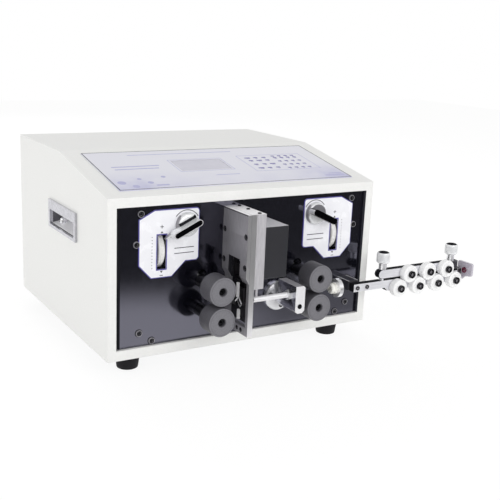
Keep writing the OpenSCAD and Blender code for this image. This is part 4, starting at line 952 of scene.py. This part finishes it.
dial = np.array([DIAL_U, DIAL_Z])
slot_half, arrow_z = np.array([SLOT_W, SLOT_H]) / 2 + FRAME_OFF, SLOT_H / 2 + 1.6
slot_frame = box_outline(*(dial - slot_half), *(dial + slot_half))
scale_z = np.linspace(DIAL_Z - SCALE_HALF, DIAL_Z + SCALE_HALF, DOTS)
scale = [circle(10) * DOT_R + [DIAL_U + DOT_OFF, z] for z in scale_z]
arrows = [dial + [[-ARROW_W, arrow_z], [ARROW_W, arrow_z], [0, arrow_z + ARROW_H]],
          dial + [[-ARROW_W, -arrow_z], [0, -arrow_z - ARROW_H], [ARROW_W, -arrow_z]]]
signs = [dial + box_outline(*box) for box in PLUS_MINUS]
rules = [box_outline(PLATE_U0 + RULE_FROM, PLATE_TOP - down, PLATE_U0 + RULE_TO, PLATE_TOP - down + RULE_H)
         for down in RULES_DOWN]
sweep = np.radians(np.linspace(ARC_FROM, ARC_TO, 24))
arc = np.column_stack([KNOB_U + ARC_R * np.cos(sweep), KNOB_Z + ARC_R * np.sin(sweep)])
arc = arc[(arc[:, 1] < PLATE_TOP - 0.8) & (arc[:, 0] > PLATE_U0 + 1)]
plate_face = front_plane(PLATE_Y)
for side, sign in SIDES:
    rim, frame_path, arc_path = (on_side(path, sign) for path in (plate_outline, slot_frame, arc))
    lines(f"{side}_plate_edge", plate_face, [rim], EDGE_BAND, indigo_ink)
    lines(f"{side}_slot_frame", plate_face, [frame_path], flat_line(FRAME_W), indigo_ink)
    printed = [on_side(outline, sign) for outline in scale + arrows + signs + rules]
    marks(f"{side}_plate_marks", plate_face, printed, black_ink)
    lines(f"{side}_knob_arc", plate_face, [arc_path], flat_line(ARC_W), black_ink, closed=False)
print("marks on a plate:", len(printed))

# %% [markdown]
# ## Print of the control overlay
# The overlay carries a thin border, a frame round the display, a framed field of keys, a few rules and
# some spots, in lilac, indigo and black ink. Places on it are given across and up the slope of the
# case's top.

# %% Prints of the overlay
SLOPE_FOOT, SLOPE_RISE, SLOPE_RUN, FILM_TOP = 165.5, 26.5, 138.5, 0.8
slope = math.atan(SLOPE_RISE / SLOPE_RUN)
uphill, out_of_film = (0, math.cos(slope), math.sin(slope)), (0, -math.sin(slope), math.cos(slope))
film_top = (np.array([0, 0, SLOPE_FOOT]) + np.multiply(FILM_TOP, out_of_film), (1, 0, 0), uphill, out_of_film)
BORDER, BORDER_W, LINE_W = (-140.2, 17.3, 140.2, 126.7), 0.9, 0.7
FRAMES = ((-54.2, 58.6, 11.2, 95.2), (34.5, 49.0, 119.5, 99.0))
RULES = ((-93, 114.2, 36, 115.6), (-124.6, 79.2, -70.6, 81.6), (-123.7, 71.8, -73.8, 74.0),
         (-20, 43.4, 9, 44.8))
SPOTS = ((4.5, -131, 36), (3.2, -101, 33), (2.6, -81, 47), (3.8, -120, 25), (2.4, -109, 44))
BARS = ((-98, 23.4, -84, 26.6), (110, 24, 136, 27), (118, 30, 136, 32))
KEY, WIDE_KEY, SMALL_KEY = 2.6, 3.6, 2.2
key_rows = [(x, s, KEY if (i + j) % 3 else WIDE_KEY) for i, x in enumerate((45, 56, 67))
            for j, s in enumerate((58, 70, 82, 91))]
key_rows += [(x, s, SMALL_KEY) for x in (81, 90, 99, 108) for s in (55, 66, 77, 88, 94)]
keys = [box_outline(x - size, s - 1.2, x + size, s + 1.2) for x, s, size in key_rows]
keys += [box_outline(x - size * 0.6, s - 3.2, x + size * 0.6, s - 2.4) for x, s, size in key_rows]
spots = [circle(20) * radius + [x, s] for radius, x, s in SPOTS] + [box_outline(*bar) for bar in BARS]
frame_boxes, rule_boxes = ([box_outline(*box) for box in boxes] for boxes in (FRAMES, RULES))
lines("overlay_border", film_top, [box_outline(*BORDER)], flat_line(BORDER_W), black_ink)
lines("overlay_frames", film_top, frame_boxes, flat_line(LINE_W), lilac_ink)
marks("overlay_keys", film_top, keys, indigo_ink)
marks("overlay_rules", film_top, rule_boxes, lilac_ink)
marks("overlay_spots", film_top, spots, lilac_ink)
print("slope", round(math.degrees(slope), 2), "degrees, keys:", len(keys), "spots:", len(spots))

# %% [markdown]
# ## Small parts of the cutter head
# Three socket screws hold the head together from above, and a painted shadow line runs along the top
# edge of its cover. The side screws sit on black washers, and a dark band in the slot of the blade holder
# is painted shade.

# %% Cutter head
HEAD_TOP, SCREW_X, COVER_X, PLATE_X = 149.5, -16.5, -31.6, -27.5
COVER_SCREWS, PLATE_SCREWS = ((41.8, -0.5), (126.5, 94.7)), ((32, 26.5), (24, 26.5))
SLOT_SHADE, SHADOW_LINE_W = (9.2, 78.0, 11.4, 101.2), 0.9
COVER_RING, COVER_RING_W, PLATE_RING, PLATE_RING_W = 2.65, 0.9, 1.9, 0.8
cover, plate = left_plane(COVER_X), left_plane(PLATE_X)
socket = [[0, 0], [1.9, 0], [1.9, 0.7], [1.7, 1.0], [1.1, 1.0], [1.0, 0.2], [0, 0.2]]
top_screws = [(SCREW_X, y, HEAD_TOP) for y in (-1.5, -19.0, -41.0)]
turned_piece("head_top_screws", socket, top_screws, "z", black_oxide, 32)
# A dark line along the top edge of the head's cover: a painted shadow.
cover_shadow_line = [[-4.2, HEAD_TOP - SHADOW_LINE_W], [44.6, HEAD_TOP - SHADOW_LINE_W]]
lines("head_cover_painted_shadow", cover, [cover_shadow_line], flat_line(SHADOW_LINE_W), black_ink, closed=False)
cover_rings = [circle(24) * COVER_RING + [a, z] for a in COVER_SCREWS[0] for z in COVER_SCREWS[1]]
lines("cover_screw_washers", cover, cover_rings, flat_line(COVER_RING_W), dull_black)
plate_rings = [circle(24) * PLATE_RING + spot for spot in PLATE_SCREWS]
lines("plate_screw_washers", plate, plate_rings, flat_line(PLATE_RING_W), dull_black)
# A dark band in the slot beside the blade holder: painted shade.
marks("blade_slot_painted_shade", plate, [box_outline(*SLOT_SHADE)], dull_black)
print("washers:", len(cover_rings) + len(plate_rings))

# %% [markdown]
# The blades are dark, each with a ground rib that faces the light and a bright bevel along its cutting
# notch. A rib is a three-cornered section carried up the blade; the upper bevel is one too, and the
# lower one is flat.

# %% Blades
WIRE_Y, WIRE_Z, NOTCH, TIP, BEVEL_OFF = -30.75, 56.5, 6.3, 1.5, 0.8
RIB, RIDGE = [[-2.2, 0.0], [0.9, 0.0], [-1.9, 2.2]], [[-0.7, 0.0], [0.7, 0.0], [0.0, 0.9]]
for row, face_x, sign, rib_ends, bevel in (("upper", -30.5, 1, (5.2, 20.5), RIDGE),
                                           ("lower", -28.7, -1, (-18.5, -8.2), flat_line(1.4, 0.0, 0.12))):
    blade, body = left_plane(face_x, WIRE_Y, WIRE_Z), f"{row}_cutter"
    rib = [[0, end] for end in rib_ends]
    lines(f"{row}_blade_rib", blade, [rib], RIB, milled_steel, body, closed=False)
    notch = np.array([[-NOTCH, 0], [0, NOTCH], [NOTCH, 0]]) + [0, BEVEL_OFF - TIP]
    notch = notch * [1, sign]
    lines(f"{row}_blade_bevel", blade, [notch[::sign]], bevel, bare_blade, body, closed=False)
print("blade ribs and bevels: 2 each")

# %% [markdown]
# ## Pivot flange
# A polished flange carries the pivot of the swinging guide. Its face falls away towards the rim like a
# shallow dome, so the lower half mirrors the lit table and the upper half the dark room. The lathe
# leaves fine rings in it, which are drawn coarser than real ones so that they show. Three socket screws
# hold it.

# %% Pivot flange
PIVOT_X, PIVOT_Z, FLANGE_R, FACE_R, BORE_R, FLANGE_Y, FALL = 39.0, 45.1, 16.5, 15.9, 6.1, -1.0, 1.5
RING_PITCH, RING_DEPTH, RING_ROWS, SCREW_RING = 0.8, 0.07, 99, 11.5
face_r = np.linspace(FACE_R, BORE_R, RING_ROWS)
rings = RING_DEPTH * (1 - np.cos(2 * math.pi * face_r / RING_PITCH)) / 2
face = np.column_stack([face_r, FLANGE_Y + FALL * ((face_r - BORE_R) / (FLANGE_R - BORE_R)) ** 2 + rings])
flange = np.vstack([[BORE_R, PANEL_Y], [FLANGE_R, PANEL_Y], [FLANGE_R, FLANGE_Y + FALL + 0.6], face])
pivot = np.array([PIVOT_X, 0, PIVOT_Z])
turned_piece("pivot_flange_turned", flange, [pivot], "y", hazed_chrome, 96, node="pivot_flange", ring=True)
around = np.radians([45, 165, 285])
screw_spots = pivot + SCREW_RING * np.column_stack([np.cos(around), np.zeros(3), np.sin(around)])
flange_screw = [[0, 0.5], [2.2, 0.5], [2.2, -1.0], [1.9, -1.2], [1.2, -1.2], [1.1, -0.4], [0, -0.4]]
turned_piece("flange_screws", flange_screw, screw_spots, "y", black_oxide, 32)
print("flange face falls", FALL, "mm")

# %% [markdown]
# ## Painted highlights, reflections and shade
# Thin bright lines run along the top of the straightener's bracket and round the front of the left lever
# grip: painted highlights. A dark mark lies between grip and disc, a bar on the left and a half disc on
# the right: a painted dark reflection in the chrome. A dark patch on the right end of the upper bar is
# painted shade.

# %% Painted highlights, reflections and shade
BRACKET_TOP, BRACKET_X, BRACKET_Y, HIGHLIGHT_W = 57.0, (120.9, 133.1), (4.0, -17.6), 1.3
bracket = (0, 0, BRACKET_TOP), (1, 0, 0), (0, 1, 0), (0, 0, 1)
# Bright lines along the top edges of the bracket: painted highlights.
highlight_paths = [[[x, y] for y in BRACKET_Y] for x in BRACKET_X]
lines("bracket_painted_highlights", bracket, highlight_paths, flat_line(HIGHLIGHT_W), milled_steel, closed=False)
GRIP_LEN, GRIP_W, GRIP_SHIFT, GRIP_TILT, GRIP_Y = 34.0, 7.0, 5.0, math.radians(25), -10.8
NOSE_R, HIGHLIGHT_LINE = 3.05, flat_line(0.5, 0.0, 0.08)
DISC_Y, REFLECTION_BAR, REFLECTION_R, REFLECTION_LOW, REFLECTION_HIGH = -2.3, (-10.0, 0.0, 9.6, 6.6), 10.6, -1.2, 0.3
half_turn = np.linspace(-math.pi / 2, math.pi / 2, 9)
nose = np.column_stack([(GRIP_LEN - GRIP_W) / 2 + NOSE_R * np.cos(half_turn), NOSE_R * np.sin(half_turn)])
half_disc = REFLECTION_R * np.column_stack([np.sin(half_turn), np.cos(half_turn)])[::-1]
cos_tilt, sin_tilt = math.cos(GRIP_TILT), math.sin(GRIP_TILT)
turn_down = np.array([[cos_tilt, -sin_tilt], [sin_tilt, cos_tilt]])


def on_knob(shape, sign):
    """An outline drawn along the grip, turned by the grip's tilt and moved to the knob of that side."""
    return on_side(np.asarray(shape) @ turn_down + [KNOB_U, KNOB_Z], sign)


loop = on_knob(np.vstack([nose, -nose]) + [GRIP_SHIFT, 0], -1)
# A bright line round the front of the left grip: a painted highlight.
lines("left_grip_painted_highlight", front_plane(GRIP_Y), [loop], HIGHLIGHT_LINE, milled_steel, "left_knob")
# A dark mark on each disc beside the grip: a painted reflection.
for (side, sign), reflection_outline, material in zip(SIDES, (box_outline(*REFLECTION_BAR), half_disc), (chrome_painted_dark, pale_grey_face)):
    marks(f"{side}_grip_painted_reflection", front_plane(DISC_Y), [on_knob(reflection_outline, sign)], material,
          f"{side}_knob", REFLECTION_LOW, REFLECTION_HIGH)
BAR_FRONT, BAR_END_SHADE, END_SHADE_H = -26.0, (265.5, 57.7, 278.5, 67.2), 0.12
# A dark patch on the right end of the upper bar's front: painted shade.
marks("upper_bar_end_painted_shade", front_plane(BAR_FRONT), [box_outline(*BAR_END_SHADE)], satin_black,
      "upper_rail", high=END_SHADE_H)
print("worn lines:", len(highlight_paths) + 1)

# %% [markdown]
# ## Screws of the guide block and the handles
# The guide block is clamped by a socket screw in its front, and each handle cup is held by a domed nut
# at either end.

# %% Guide screw and handle nuts
GUIDE_SCREW, HANDLE_Y, NUT_OFF, CUP_X, CUP_Z = (39.4, -40.5, 44.6), 127.0, 25.6, 151.0, 109.6
guide_screw = [[0, 0.05], [2.5, 0.05], [2.5, -0.12], [1.5, -0.12], [1.4, -0.05], [0, -0.05]]
turned_piece("guide_block_screw", guide_screw, [GUIDE_SCREW], "y", black_oxide, 32, "swing")
acorn = [[0, 0], [4.6, 0], [4.6, 0.8], [3.9, 0.9], [3.9, 3.2], [3.5, 4.8], [2.3, 6.0], [0, 6.5]]
nuts = [(sign * CUP_X, HANDLE_Y + end * NUT_OFF, CUP_Z) for _, sign in SIDES for end in (-1, 1)]
turned_piece("handle_nuts", acorn, nuts, "z", hazed_chrome, 32)
print("handle nuts:", len(nuts))

# %% [markdown]
# ## Back of the machine
# The rear panel is held by eight pan-head screws along its edges, and the mains inlet by two
# countersunk ones.

# %% Rear screws
BACK_Y, INLET_X, INLET_Z, INLET_SPAN = 282.0, -110.0, 48.0, 26.2
pan_head = [[0, -0.1], [3.0, -0.1], [3.0, 0.5], [2.6, 1.2], [1.8, 1.6], [0.9, 1.7], [0.6, 0.9], [0, 0.9]]
rear_spots = [(x, BACK_Y, z) for x in (-150, -50, 50, 150) for z in (9, 181)]
turned_piece("rear_panel_screws", pan_head, rear_spots, "y", zinc_plate, 32)
flush_head = [[0, 1.9], [2.3, 1.9], [2.3, 2.05], [1.9, 2.15], [0.8, 2.15], [0.6, 1.95], [0, 1.95]]
inlet_spots = [(INLET_X, BACK_Y, INLET_Z + end * INLET_SPAN) for end in (-1, 1)]
turned_piece("inlet_screws", flush_head, inlet_spots, "y", black_oxide, 32)
print("rear screws:", len(rear_spots) + len(inlet_spots))

# %% [markdown]
# ## Pieces
# The new pieces are printed with the number of their faces.

# %% Pieces and end
print("pieces:", made)
